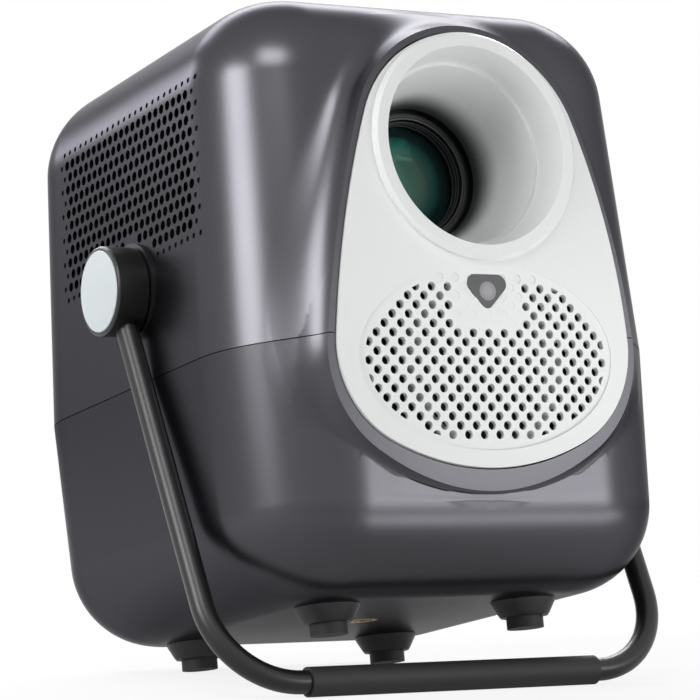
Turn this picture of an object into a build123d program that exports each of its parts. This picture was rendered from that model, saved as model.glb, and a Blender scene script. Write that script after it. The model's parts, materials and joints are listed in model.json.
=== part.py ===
from build123d import *
import math
import os

# Portable projector with a disc tray in its back, standing on a swinging bail.
# Millimetres. Pieces are drawn in the upright frame of the casing: origin under
# the middle of the casing's floor, +Z up, lens looking along -Y. The last
# section leans them all back into the standing pose, lens raised, with the rear
# feet and the bail's grip on the ground.

# ------------------------------------------------------------------ casing
BODY_WIDTH = 160.0
BODY_DEPTH = 176.4
UPPER_HEIGHT = 117.1
LOWER_HEIGHT = 77.9
PLAN_RADIUS = 38.0
TOP_FILLET = 31.5
BOTTOM_FILLET = 29.6
UPPER_DRAFT = 2.7
LOWER_DRAFT = 2.5
WALL = 2.4
SPLIT_REVEAL = 0.3
TONGUE_THICKNESS = 1.4
TONGUE_REACH = 3.2
SEAT_GAP = 0.3
SLIDE_FIT = 0.05

# --------------------------------------------------- teardrop face and nose
CROWN_RADIUS = 40.5
CROWN_Z = 134.8
FLANK_RADIUS = 280.0
SHOULDER_RADIUS = 33.5
SHOULDER_X = 20.3
SHOULDER_Z = 74.4
FOOT_Z = 36.0
DOME_RADIUS = 700.0
DOME_APEX_Y = -97.6
BEZEL_WALL = 2.4
BEZEL_SKIRT_Y = -84.0
BEZEL_REVEAL = 0.5
LIP_WIDTH = 1.4
LIP_DROP = 1.0
NOSE_FRONT_FOOT_Y = -92.0
NOSE_FRONT_CROWN_Y = -98.5
NOSE_ROOT_FOOT_Y = -86.2
NOSE_ROOT_CROWN_Y = -73.5
NOSE_FLARE = 5.0
NOSE_FOOT_FLARE = 1.5
NOSE_CROWN_FLARE = 4.0
FACE_CUT_FRONT_Y = -110.0
FACE_CUT_REAR_Y = -70.0

# ----------------------------------------------------------- hood and lens
LENS_Z = 138.0
HOOD_RIM_Y = -98.7
HOOD_RADIUS = 37.2
HOOD_EDGE = 1.0
HOOD_MOUTH_RADIUS = 32.5
HOOD_ROOT_Y = -91.0
HOOD_STEP_Y = -86.5
HOOD_STEP_RADIUS = 30.4
HOOD_LEDGE_RADIUS = 29.4
HOOD_THROAT_Y = -60.0
HOOD_THROAT_RADIUS = 22.4
HOOD_WALL = 2.0
BARREL_RADIUS = 21.75
BARREL_FRONT_Y = -58.3
BARREL_REAR_Y = -20.0
BARREL_BORE = 19.4
RING_DEPTH = 3.0
RING_BORE = 18.4
LENS_SHOULDER_Y = -46.5
LENS_SHOULDER_BORE = 17.0
LENS_EDGE_FRONT_Y = -49.5
LENS_FRONT_CURVE = 46.0
LENS_REAR_CURVE = 90.0
REAR_LENS_Y = -30.0
REAR_LENS_THICKNESS = 5.0
HOUSING_RADIUS = 24.5
HOUSING_FRONT_Y = -57.0
HOUSING_FLANGE = 64.0
HOUSING_FLANGE_THICKNESS = 2.5

# ------------------------------------------------------------- focus drive
GEAR_MODULE = 0.8
RING_TEETH = 72
PINION_TEETH = 12
TOOTH_FILL = 0.42
ADDENDUM = 0.85
DEDENDUM = 1.1
GEAR_BACKLASH = 0.1
GEAR_FRONT_Y = -44.0
GEAR_REAR_Y = -36.0
MOTOR_SHAFT_RADIUS = 1.0
FOCUS_MOTOR_RADIUS = 7.5
FOCUS_MOTOR_FRONT_Y = -33.0
FOCUS_SHAFT_DEPTH = 6.0

# ------------------------------------------------- grille, sensor, speaker
GRILLE_HALF_WIDTH = 44.5
GRILLE_HALF_HEIGHT = 27.0
GRILLE_Z = 70.5
GRILLE_PITCH = 5.75
GRILLE_HOLE_RADIUS = 1.42
GRILLE_BLANK_HALF_WIDTH = 12.6
GRILLE_BLANK_Z = 80.2
GRILLE_TOP_ROW_Z = 95.2
GRILLE_BLIND_Z = 93.6
GRILLE_ROWS = 18
DIMPLE_DEPTH = 0.4
GRILLE_RECESS = 0.8
GRILLE_RECESS_MARGIN = 2.2
SENSOR_CORNER_X = 4.3
SENSOR_CORNER_Z = 93.5
SENSOR_CORNER_RADIUS = 3.0
SENSOR_TIP_Z = 87.9
SENSOR_TIP_RADIUS = 2.2
SENSOR_THICKNESS = 1.8
SENSOR_SINK = 0.2
SENSOR_FIT = 0.12
SENSOR_BOX = (11.0, 4.0, 7.0)
SPEAKER_Z = 68.5
SPEAKER_RADIUS = 28.0
SPEAKER_FRONT_Y = -87.2
SPEAKER_FLANGE = 1.6
SPEAKER_COLLAR = 2.0
SPEAKER_SURROUND_RADIUS = 24.0
SPEAKER_BASKET_REAR_Y = -66.0
SPEAKER_BASKET_RADIUS = 17.0
CONE_THICKNESS = 0.8
CONE_NECK_RADIUS = 8.0
CONE_NECK_Y = -74.0
MAGNET_RADIUS = 19.0
MAGNET_DEPTH = 12.0

# ------------------------------------------------------------------- vents
VENT_REAR_Y = 45.5
VENT_FRONT_Y = -55.0
VENT_BOTTOM_Z = 117.5
VENT_TOP_Z = 168.5
VENT_ROWS = 13
VENT_COLUMNS = 24
VENT_HOLE_RADIUS = 1.6
VENT_BLIND_RADIUS = 0.9
VENT_BLIND_DEPTH = 0.5

# ------------------------------------------------------- bail and its pivot
PIVOT_Y = -7.0
PIVOT_Z = 109.0
STAND_TILT = 10.7
BAIL_REACH = 142.0
BAIL_TUBE_RADIUS = 3.75
BAIL_TUBE_BORE = 2.6
BAIL_BEND_RADIUS = 28.0
BAIL_TOP_X = 84.9
BAIL_FOOT_X = 82.8
GRIP_HALF_LENGTH = 53.5
GRIP_RADIUS = 4.75
HUB_RADIUS = 14.7
HUB_INNER_X = 79.9
HUB_FACE_X = 91.2
CAP_RADIUS = 13.3
CAP_INNER_X = 90.0
CAP_FACE_X = 91.6
TUBE_ENTRY = 8.0
BOLT_RADIUS = 3.0
BOLT_HEAD_RADIUS = 6.0
BOLT_HEAD_THICKNESS = 1.8
BOLT_INNER_X = 70.0
WASHER_RADIUS = 16.0
BRACKET_THICKNESS = 2.5
BRACKET_X = 75.0
BRACKET_HALF_LENGTH = 14.0
BRACKET_RISE = 6.5
BRACKET_FOOT = 15.0

# -------------------------------------------------------------------- feet
FOOT_X = 37.1
FRONT_FOOT_Y = -41.7
REAR_FOOT_Y = 48.5
FOOT_HEIGHT = 9.2
FOOT_TOP_RADIUS = 10.8
FOOT_RIM_RADIUS = 8.4
FOOT_BASE_HEIGHT = 5.4
PAD_RADIUS = 6.1
TRIPOD_THREAD_RADIUS = 3.2
TRIPOD_DEPTH = 10.0
INSERT_RADIUS = 5.0
BOSS_WALL = 3.0

# ----------------------------------------------------------- light engine
ENGINE_HALF_WIDTH = 50.0
ENGINE_FRONT_Y = -14.0
ENGINE_REAR_Y = 58.0
ENGINE_BOTTOM_Z = 108.0
ENGINE_TOP_Z = 167.5
ENGINE_WALL = 2.0
PANEL_THICKNESS = 3.0
PANEL_Y = 20.0
FRESNEL_THICKNESS = 2.0
FRESNEL_GAP = 7.0
BULKHEAD_Y = 41.0
CONDENSER_RADIUS = 25.0
CONDENSER_RIM = 3.0
CONDENSER_CURVE = 34.0
LED_BOARD_SIZE = 56.0
LED_BOARD_THICKNESS = 2.0
LED_CHIP = 20.0
LED_OPENING = 46.0
SINK_WIDTH = 62.0
SINK_BASE = 3.0
SINK_REAR_Y = 78.5
SINK_FINS = 11
FIN_THICKNESS = 1.4
FAN_SIZE = 50.0
FAN_THICKNESS = 15.0
FAN_OUTER_X = -72.3
FAN_Y = 10.0
FAN_Z = 141.0
FAN_BORE = 23.4
FAN_SPOKE_DEPTH = 2.0
FAN_SPOKE_WIDTH = 4.0
FAN_POST_PITCH = 20.0
FAN_POST_RADIUS = 2.6
ROTOR_RADIUS = 22.6
ROTOR_HUB_RADIUS = 11.0
ROTOR_DEPTH = 10.0
ROTOR_BLADES = 7
BLADE_PITCH = 35.0
BLADE_THICKNESS = 1.2
FAN_SHAFT_RADIUS = 1.5

# ------------------------------------------------- frame, boards, sockets
MID_TOP_Z = 99.0
MID_THICKNESS = 3.0
MID_FRONT_Y = -48.0
COLUMN_X = 66.0
COLUMN_FRONT_Y = -36.0
COLUMN_REAR_Y = 58.0
COLUMN_RADIUS = 4.0
LUG_Y = 32.0
LUG_HALF_LENGTH = 5.0
LUG_HEIGHT = 8.0
LUG_INNER_X = 71.0
SCREW_RADIUS = 1.4
SCREW_HEAD_RADIUS = 2.6
SCREW_HEAD_HEIGHT = 1.6
SCREW_LENGTH = 12.0
BOARD_THICKNESS = 1.6
MAIN_BOARD_Z = 24.0
MAIN_HALF_WIDTH = 50.0
MAIN_FRONT_Y = -46.0
MAIN_REAR_Y = 80.0
POWER_BOARD_Z = 58.0
POWER_HALF_WIDTH = 61.0
POWER_FRONT_Y = -34.0
POWER_REAR_Y = 70.0
POST_RADIUS = 3.0
MAIN_POST_X = 44.0
POWER_POST_X = 57.0
POST_END_INSET = 8.0
IO_HALF_WIDTH = 52.0
IO_BOTTOM_Z = 24.0
IO_TOP_Z = 44.0
IO_CORNER = 5.0
IO_FACE_Y = 85.0
IO_THICKNESS = 3.2
IO_FLANGE = 1.2
IO_MARGIN = 1.6
IO_FIT = 0.2
HDMI_X = -22.0
HDMI_SIZE = (15.0, 11.5, 6.0)
HDMI_MOUTH = (14.0, 4.6)
USB_X = (0.0, 18.0)
USB_SIZE = (14.0, 13.0, 7.0)
USB_MOUTH = (12.5, 5.1)
AUDIO_X = 34.0
AUDIO_SIZE = (7.0, 12.0, 7.0)
AUDIO_BORE = 1.8
INLET_X = -41.0
INLET_SIZE = (9.0, 13.0, 10.0)
INLET_BORE = 3.2
INLET_PIN = 1.0
SOCKET_DEPTH = 9.0
IR_X = 45.0
IR_Z = 33.0
IR_RADIUS = 3.2
IR_THICKNESS = 2.0

# -------------------------------------------------------------- disc drive
DRIVE_BOTTOM_Z = 168.3
DRIVE_HEIGHT = 9.5
DRIVE_HALF_WIDTH = 64.0
DRIVE_FRONT_Y = -61.6
DRIVE_REAR_Y = 64.5
DRIVE_WALL = 1.2
DRIVE_SHEET = 0.8
COVER_SHEET = 0.6
RAIL_THICKNESS = 1.6
RAIL_HEIGHT = 3.0
RAIL_LENGTH = 110.0
TRAY_UNDER_GAP = 0.3
TRAY_THICKNESS = 7.0
TRAY_NECK_HALF_WIDTH = 38.0
DISC_RADIUS = 60.0
DISC_CLEARANCE = 1.0
DISC_RECESS = 1.8
DISC_Y = 3.0
SLOT_HALF_WIDTH = 67.0
SLOT_BOTTOM_Z = 167.6
SLOT_TOP_Z = 178.4
SLOT_CORNER = 2.0
SLOT_GAP = 0.4
SPINDLE_RADIUS = 10.8
SPINDLE_POCKET_FIT = 0.3
SPINDLE_HEIGHT = 3.5
SPINDLE_SHAFT = 1.0
TURNTABLE_RADIUS = 12.0
TURNTABLE_SHEET = 0.7
TURNTABLE_LIFT = 0.3
DISC_HOLE_RADIUS = 7.3
TURNTABLE_HUB = 1.2
WINDOW_LEFT_X = -13.0
WINDOW_RIGHT_X = 19.0
WINDOW_OUTER_Y = -55.0
WINDOW_INNER_Y = -9.5
ROD_RADIUS = 1.0
ROD_X = 11.0
ROD_Z = 171.4
ROD_SEAT = 1.5
SCREW_X = 15.5
LEAD_SCREW_RADIUS = 1.2
SLED_MOTOR_RADIUS = 1.8
SLED_MOTOR_LENGTH = 8.2
SLED_LENGTH = 13.5
SLED_INNER_Y = -10.0
SLED_BOTTOM_Z = 169.9
SLED_HEIGHT = 3.6
SLED_TAB = 4.0
PICKUP_LENS_RADIUS = 2.5
PICKUP_LENS_HEIGHT = 0.9
EJECT_X = 48.0
EJECT_HALF_LENGTH = 4.0
EJECT_RADIUS = 1.4
EJECT_PROUD = 0.5
BUTTON_FIT = 0.25
DRIVE_BOARD_SIZE = (70.0, 50.0)

# -------------------------------------------------------------------- keys
KEY_RADIUS = 5.5
KEY_X = 16.0
KEY_Y = 38.0
KEY_PROUD = 0.7
KEY_LENGTH = 7.0
KEY_FLANGE = 1.0
KEY_FLANGE_HEIGHT = 1.2
KEY_SWITCH_GAP = 1.2
KEY_BOARD_HALF_LENGTH = 34.0
KEY_BOARD_HALF_WIDTH = 9.0
KEY_POST_X = 29.0

BODY_HEIGHT = LOWER_HEIGHT + UPPER_HEIGHT
SIDES = (-1, 1)
UPPER_SLOPE = math.tan(math.radians(UPPER_DRAFT))
PARTS = {}


# ------------------------------------------------------------ small helpers
def block(x_span, y_span, z_span):
    """Box between two values on each axis."""
    low = (x_span[0], y_span[0], z_span[0])
    size = (x_span[1] - x_span[0], y_span[1] - y_span[0], z_span[1] - z_span[0])
    return Pos(*low) * Box(*size, align=(Align.MIN, Align.MIN, Align.MIN))


def rod_x(radius, x_low, x_high, y, z):
    """Cylinder along X."""
    place = Pos((x_low + x_high) / 2, y, z) * Rot(0, 90, 0)
    return place * Cylinder(radius, x_high - x_low)


def rod_y(radius, y_low, y_high, x, z):
    """Cylinder along Y."""
    place = Pos(x, (y_low + y_high) / 2, z) * Rot(90, 0, 0)
    return place * Cylinder(radius, y_high - y_low)


def rod_z(radius, z_low, z_high, x, y):
    """Cylinder along Z."""
    return Pos(x, y, (z_low + z_high) / 2) * Cylinder(radius, z_high - z_low)


def front_plane(y):
    """Drawing plane that faces the front, local x = X and local y = Z."""
    return Plane(origin=(0, y, 0), x_dir=(1, 0, 0), z_dir=(0, -1, 0))


def bar(sketch, y_front, y_rear):
    """Sketch in X and Z, carried along Y from y_front back to y_rear."""
    return extrude(front_plane(y_rear) * sketch, amount=y_rear - y_front)


def turned_y(points, x=0.0, z=LENS_Z):
    """Solid of revolution about a line along Y; points are (radius, y)."""
    profile = Pos(x, 0, z) * make_face(Polyline(*points, close=True))
    return revolve(profile, axis=Axis((x, 0, z), (0, 1, 0)))


def turned_z(points, x, y):
    """Solid of revolution about a line along Z; points are (radius, z)."""
    profile = Plane.XZ * make_face(Polyline(*points, close=True))
    return Pos(x, y, 0) * revolve(profile, axis=Axis.Z)


def arc(centre, radius, start, end):
    """Arc about a centre, from one angle to another, by its middle point."""
    angles = (start, (start + end) / 2, end)
    points = [(centre[0] + radius * math.cos(a), centre[1] + radius * math.sin(a)) for a in angles]
    return ThreePointArc(*points)


def group(pieces):
    """Separate solids that share one name."""
    solids = [solid for piece in pieces for solid in piece.solids()]
    return Compound(solids)


# ------------------------------------------------------------ casing shapes
def plan(inset):
    """Rounded outline of the casing at the split line, seen from above."""
    return RectangleRounded(
        BODY_WIDTH - 2 * inset, BODY_DEPTH - 2 * inset, PLAN_RADIUS - inset
    )


def half_form(height, draft, edge_radius, inset):
    """Drafted block that grows upwards from the split line, edges rounded."""
    blank = extrude(plan(inset), amount=height - inset, taper=draft)
    lid = blank.faces().sort_by(Axis.Z)[-1]
    return fillet(lid.edges(), edge_radius - inset)


def upper_form(inset):
    form = half_form(UPPER_HEIGHT, UPPER_DRAFT, TOP_FILLET, inset)
    return Pos(0, 0, LOWER_HEIGHT) * form


def lower_form(inset):
    form = half_form(LOWER_HEIGHT, LOWER_DRAFT, BOTTOM_FILLET, inset)
    return Pos(0, 0, LOWER_HEIGHT) * mirror(form, about=Plane.XY)


def teardrop(grow=0.0, crown_rise=0.0, foot_drop=0.0):
    """Outline of the face in X and Z: crown, two flanks, two shoulders and foot,
    each an arc that runs smoothly into the next."""
    crown = (0.0, CROWN_Z + crown_rise)
    shoulder = (SHOULDER_X, SHOULDER_Z)
    crown_radius = CROWN_RADIUS + grow
    shoulder_radius = SHOULDER_RADIUS + grow
    flank_radius = FLANK_RADIUS + grow
    foot_z = FOOT_Z - grow - foot_drop
    below = SHOULDER_Z - foot_z
    foot_radius = (SHOULDER_X**2 + below**2 - shoulder_radius**2) / (2 * (below - shoulder_radius))
    foot = (0.0, foot_z + foot_radius)
    # The flank's centre lies where both inner tangencies hold.
    to_crown = flank_radius - crown_radius
    to_shoulder = flank_radius - shoulder_radius
    span = math.dist(crown, shoulder)
    along = (to_crown**2 - to_shoulder**2 + span**2) / (2 * span)
    aside = math.sqrt(to_crown**2 - along**2)
    ux = (shoulder[0] - crown[0]) / span
    uz = (shoulder[1] - crown[1]) / span
    flank = (crown[0] + ux * along + uz * aside, crown[1] + uz * along - ux * aside)
    a_crown = math.atan2(crown[1] - flank[1], crown[0] - flank[0])
    a_flank = math.atan2(shoulder[1] - flank[1], shoulder[0] - flank[0])
    a_foot = math.atan2(shoulder[1] - foot[1], shoulder[0] - foot[0])
    left_shoulder = (-shoulder[0], shoulder[1])
    left_flank = (-flank[0], flank[1])
    return make_face([
        arc(foot, foot_radius, -math.pi - a_foot, a_foot),
        arc(shoulder, shoulder_radius, a_foot, a_flank),
        arc(flank, flank_radius, a_flank, a_crown),
        arc(crown, crown_radius, a_crown, math.pi - a_crown),
        arc(left_flank, flank_radius, math.pi - a_crown, math.pi - a_flank),
        arc(left_shoulder, shoulder_radius, math.pi - a_flank, math.pi - a_foot),
    ])


def leaning_plane(y_foot, y_crown):
    """Front-facing plane that passes one depth at the face's foot and another
    at its crown."""
    slope = (y_crown - y_foot) / (CROWN_Z + CROWN_RADIUS - FOOT_Z)
    origin = (0, y_foot - slope * FOOT_Z, 0)
    return Plane(origin=origin, x_dir=(1, 0, 0), z_dir=(0, -1, slope))


def dome(drop):
    """Ball whose surface gives the face its gentle crown."""
    return Pos(0, DOME_APEX_Y + DOME_RADIUS, LENS_Z) * Sphere(DOME_RADIUS - drop)


def nose():
    """Raised surround that swells out of the casing around the face."""
    root = teardrop(BEZEL_REVEAL + LIP_WIDTH + NOSE_FLARE, NOSE_CROWN_FLARE, NOSE_FOOT_FLARE)
    front = teardrop(BEZEL_REVEAL + LIP_WIDTH)
    rear_section = leaning_plane(NOSE_ROOT_FOOT_Y, NOSE_ROOT_CROWN_Y) * root
    front_section = leaning_plane(NOSE_FRONT_FOOT_Y, NOSE_FRONT_CROWN_Y) * front
    return loft([rear_section, front_section], ruled=True) & dome(LIP_DROP)


def above(z):
    return block((-BODY_WIDTH, BODY_WIDTH), (-BODY_DEPTH, BODY_DEPTH), (z, 2 * BODY_HEIGHT))


def below(z):
    return block((-BODY_WIDTH, BODY_WIDTH), (-BODY_DEPTH, BODY_DEPTH), (-BODY_HEIGHT, z))


def vent_cutters():
    """Staggered holes through both side walls, ringed by small blind ones."""
    row_pitch = (VENT_TOP_Z - VENT_BOTTOM_Z) / (VENT_ROWS - 1)
    column_pitch = (VENT_REAR_Y - VENT_FRONT_Y) / (VENT_COLUMNS - 0.5)
    through = []
    blind = []
    for row in range(VENT_ROWS):
        z = VENT_BOTTOM_Z + row * row_pitch
        shift = column_pitch / 2 * (row % 2)
        for column in range(VENT_COLUMNS):
            y = VENT_FRONT_Y + column * column_pitch + shift
            if math.hypot(y - PIVOT_Y, z - PIVOT_Z) < WASHER_RADIUS + VENT_HOLE_RADIUS:
                continue
            edge_row = row in (0, VENT_ROWS - 1)
            edge_column = column in (0, VENT_COLUMNS - 1)
            target = blind if edge_row or edge_column else through
            target.append((y, z))
    side_plane = Plane(origin=(0, 0, 0), x_dir=(0, 1, 0), z_dir=(1, 0, 0))
    holes = Sketch() + [Pos(*spot) * Circle(VENT_HOLE_RADIUS) for spot in through]
    pits = Sketch() + [Pos(*spot) * Circle(VENT_BLIND_RADIUS) for spot in blind]
    reach = BODY_WIDTH
    deep = extrude(side_plane * holes, amount=reach, both=True)
    shallow = extrude(side_plane * pits, amount=reach, both=True) - upper_form(VENT_BLIND_DEPTH)
    return deep, shallow


def slot_outline(gap):
    """Mouth of the disc tray in the rear wall, in X and Z."""
    outline = RectangleRounded(
        2 * (SLOT_HALF_WIDTH - gap), SLOT_TOP_Z - SLOT_BOTTOM_Z - 2 * gap, SLOT_CORNER - gap
    )
    return Pos(0, (SLOT_TOP_Z + SLOT_BOTTOM_Z) / 2) * outline


def eject_outline(gap):
    """Pill-shaped button in the tray's front, in X and Z."""
    pill = SlotOverall(2 * (EJECT_HALF_LENGTH + gap), 2 * (EJECT_RADIUS + gap))
    return Pos(EJECT_X, (SLOT_TOP_Z + SLOT_BOTTOM_Z) / 2) * pill


def build_casing():
    cavity_upper = upper_form(WALL)
    cavity_lower = lower_form(WALL)
    surround = nose()
    face_cut = bar(teardrop(BEZEL_REVEAL), FACE_CUT_FRONT_Y, FACE_CUT_REAR_Y)
    half_reveal = SPLIT_REVEAL / 2

    upper = upper_form(0) + (surround & above(LOWER_HEIGHT))
    upper -= cavity_upper
    upper -= face_cut
    upper &= above(LOWER_HEIGHT + half_reveal)
    for side in SIDES:
        for y in (-LUG_Y, LUG_Y):
            lug_z = (MID_TOP_Z - MID_THICKNESS - LUG_HEIGHT, MID_TOP_Z - MID_THICKNESS)
            lug_x = sorted((side * LUG_INNER_X, side * BODY_WIDTH / 2))
            lug = block(lug_x, (y - LUG_HALF_LENGTH, y + LUG_HALF_LENGTH), lug_z)
            upper += lug & upper_form(WALL / 2)
        post = rod_z(POST_RADIUS, key_board_top(), BODY_HEIGHT, side * KEY_POST_X, KEY_Y)
        upper += post & upper_form(WALL / 2)
        upper -= rod_z(KEY_RADIUS + BUTTON_FIT, key_foot_z(), 2 * BODY_HEIGHT, side * KEY_X, KEY_Y)
        pin = sorted((0, side * BODY_WIDTH))
        upper -= rod_x(BOLT_RADIUS + BUTTON_FIT, *pin, PIVOT_Y, PIVOT_Z)
    upper -= bar(slot_outline(0.0), 0, BODY_DEPTH)
    deep, shallow = vent_cutters()
    upper -= deep
    upper -= shallow
    PARTS["upper_shell"] = upper

    lower = lower_form(0) + (surround & below(LOWER_HEIGHT))
    lower -= cavity_lower
    lower &= below(LOWER_HEIGHT - half_reveal)
    tongue = extrude(plan(WALL), amount=-TONGUE_REACH) + extrude(plan(WALL + SEAT_GAP), amount=TONGUE_REACH)
    tongue -= extrude(plan(WALL + TONGUE_THICKNESS), amount=TONGUE_REACH, both=True)
    trimmed = (Pos(0, 0, LOWER_HEIGHT) * tongue) & (lower_form(WALL / 2) + above(LOWER_HEIGHT))
    lower += trimmed
    lower -= face_cut
    for side in SIDES:
        for y in (COLUMN_FRONT_Y, COLUMN_REAR_Y):
            lower += column(COLUMN_RADIUS, MID_TOP_Z - MID_THICKNESS, side * COLUMN_X, y)
            top = MID_TOP_Z
            lower -= rod_z(SCREW_RADIUS, top - SCREW_LENGTH, top, side * COLUMN_X, y)
        for y in (MAIN_FRONT_Y + POST_END_INSET, MAIN_REAR_Y - POST_END_INSET):
            lower += column(POST_RADIUS, MAIN_BOARD_Z, side * MAIN_POST_X, y)
        for y in (POWER_FRONT_Y + POST_END_INSET, POWER_REAR_Y - POST_END_INSET):
            lower += column(POST_RADIUS, POWER_BOARD_Z, side * POWER_POST_X, y)
    boss_top = TRIPOD_DEPTH + BOSS_WALL
    lower += rod_z(INSERT_RADIUS + BOSS_WALL, WALL / 2, boss_top, 0, 0)
    lower -= rod_z(INSERT_RADIUS, -1, TRIPOD_DEPTH, 0, 0)
    lower -= bar(io_outline(0.0), 0, BODY_DEPTH)
    PARTS["lower_shell"] = lower
    PARTS["tripod_insert"] = rod_z(INSERT_RADIUS, 0, TRIPOD_DEPTH, 0, 0) - rod_z(
        TRIPOD_THREAD_RADIUS, -1, TRIPOD_DEPTH - 1, 0, 0
    )


def column(radius, top, x, y):
    """Post that stands on the casing's floor and never breaks through it."""
    foot = rod_z(radius, 0, min(top, LOWER_HEIGHT), x, y) & lower_form(WALL / 2)
    if top <= LOWER_HEIGHT:
        return foot
    return foot + rod_z(radius, LOWER_HEIGHT - 1, top, x, y)


def io_outline(gap):
    """Window for the sockets in the rear wall, in X and Z."""
    outline = RectangleRounded(
        2 * (IO_HALF_WIDTH + gap), IO_TOP_Z - IO_BOTTOM_Z + 2 * gap, IO_CORNER + gap
    )
    return Pos(0, (IO_TOP_Z + IO_BOTTOM_Z) / 2) * outline


# --------------------------------------------------------------- white face
def sensor_outline(gap):
    """Rounded triangle that points down, in X and Z."""
    corners = [
        (-SENSOR_CORNER_X, SENSOR_CORNER_Z, SENSOR_CORNER_RADIUS),
        (SENSOR_CORNER_X, SENSOR_CORNER_Z, SENSOR_CORNER_RADIUS),
        (0.0, SENSOR_TIP_Z, SENSOR_TIP_RADIUS),
    ]
    edges = []
    for x, z, radius in corners:
        edges += (Pos(x, z) * Circle(radius + gap)).edges()
    return make_hull(edges)


def grille_spots():
    """Centres of the through holes and of the blind dimples, in X and Z."""
    through = []
    blind = []
    across = int(GRILLE_HALF_WIDTH / GRILLE_PITCH) + 1
    for row in range(GRILLE_ROWS):
        z = GRILLE_TOP_ROW_Z - row * GRILLE_PITCH / 2
        shift = GRILLE_PITCH / 2 * (row % 2)
        for step in range(-across, across + 1):
            x = step * GRILLE_PITCH + shift
            reach = math.hypot(x / GRILLE_HALF_WIDTH, (z - GRILLE_Z) / GRILLE_HALF_HEIGHT)
            if reach > 1.0 + GRILLE_HOLE_RADIUS / (2 * GRILLE_HALF_WIDTH):
                continue
            blanked = abs(x) < GRILLE_BLANK_HALF_WIDTH and z > GRILLE_BLANK_Z
            if z > GRILLE_BLIND_Z or blanked:
                blind.append((x, z))
            else:
                through.append((x, z))
    return through, blind


def build_face():
    skirt = (FACE_CUT_FRONT_Y, BEZEL_SKIRT_Y)
    bezel = bar(teardrop(), *skirt) & dome(0.0)
    hollow = bar(teardrop(-BEZEL_WALL), FACE_CUT_FRONT_Y, FACE_CUT_REAR_Y) & dome(BEZEL_WALL)
    bezel -= hollow
    # Shallow recess of the grille: deepest at its foot, none at its head.
    region = Ellipse(GRILLE_HALF_WIDTH, GRILLE_HALF_HEIGHT)
    margin = GRILLE_RECESS_MARGIN
    wide_region = Ellipse(GRILLE_HALF_WIDTH + margin, GRILLE_HALF_HEIGHT + margin)
    lean = GRILLE_RECESS / (2 * GRILLE_HALF_HEIGHT)
    head_z = GRILLE_Z + GRILLE_HALF_HEIGHT - LENS_Z
    slide_z = lean * DOME_RADIUS
    slide_y = lean * head_z
    recess = bar(Pos(0, GRILLE_Z) * wide_region, *skirt) - Pos(0, slide_y, slide_z) * dome(0.0)
    bezel -= recess
    through, blind = grille_spots()
    circle = Circle(GRILLE_HOLE_RADIUS)
    holes = (Sketch() + [Pos(*spot) * circle for spot in through]) & (Pos(0, GRILLE_Z) * region)
    bezel -= bar(holes, *skirt)
    dimples = Sketch() + [Pos(*spot) * circle for spot in blind]
    bezel -= bar(dimples, *skirt) - dome(DIMPLE_DEPTH)
    # Hood: flat rim, a wall that narrows to a small ledge, then a long funnel.
    hood = turned_y([
        (HOOD_MOUTH_RADIUS, HOOD_RIM_Y),
        (HOOD_RADIUS - HOOD_EDGE, HOOD_RIM_Y),
        (HOOD_RADIUS, HOOD_RIM_Y + HOOD_EDGE),
        (HOOD_RADIUS, HOOD_ROOT_Y),
        (HOOD_STEP_RADIUS + HOOD_WALL, HOOD_STEP_Y),
        (HOOD_THROAT_RADIUS + HOOD_WALL, HOOD_THROAT_Y),
        (HOOD_THROAT_RADIUS, HOOD_THROAT_Y),
        (HOOD_LEDGE_RADIUS, HOOD_STEP_Y),
        (HOOD_STEP_RADIUS, HOOD_STEP_Y),
    ])
    bore = turned_y([
        (0, FACE_CUT_FRONT_Y),
        (HOOD_MOUTH_RADIUS, FACE_CUT_FRONT_Y),
        (HOOD_MOUTH_RADIUS, HOOD_RIM_Y),
        (HOOD_STEP_RADIUS, HOOD_STEP_Y),
        (0, HOOD_STEP_Y),
    ])
    bezel = (bezel - bore) + hood
    bezel -= bar(sensor_outline(0.0), *skirt)
    # Ring behind the grille that the speaker seats on.
    seat = rod_y(SPEAKER_RADIUS, DOME_APEX_Y, SPEAKER_FRONT_Y, 0, SPEAKER_Z)
    seat -= rod_y(SPEAKER_SURROUND_RADIUS + 1, DOME_APEX_Y - 1, BEZEL_SKIRT_Y, 0, SPEAKER_Z)
    seat &= dome(BEZEL_WALL - 0.2)
    seat -= sensor_box(SEAT_GAP)
    bezel += seat
    bezel -= bar(holes, *skirt)
    PARTS["front_bezel"] = bezel

    window = bar(sensor_outline(-SENSOR_FIT), *skirt)
    window = (window & dome(SENSOR_SINK)) - dome(SENSOR_SINK + SENSOR_THICKNESS)
    PARTS["sensor_window"] = window
    PARTS["sensor_module"] = sensor_box(0.0)


def sensor_box(gap):
    """Space of the camera module behind its window."""
    z = (SENSOR_CORNER_Z + SENSOR_TIP_Z) / 2
    half_x = SENSOR_BOX[0] / 2 + gap
    half_z = SENSOR_BOX[2] / 2 + gap
    fall = LENS_Z - z + SENSOR_BOX[2] / 2
    front = DOME_APEX_Y + fall**2 / (2 * DOME_RADIUS) + BEZEL_WALL + SLIDE_FIT
    return block((-half_x, half_x), (front - gap, front + SENSOR_BOX[1] + gap), (z - half_z, z + half_z))


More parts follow.
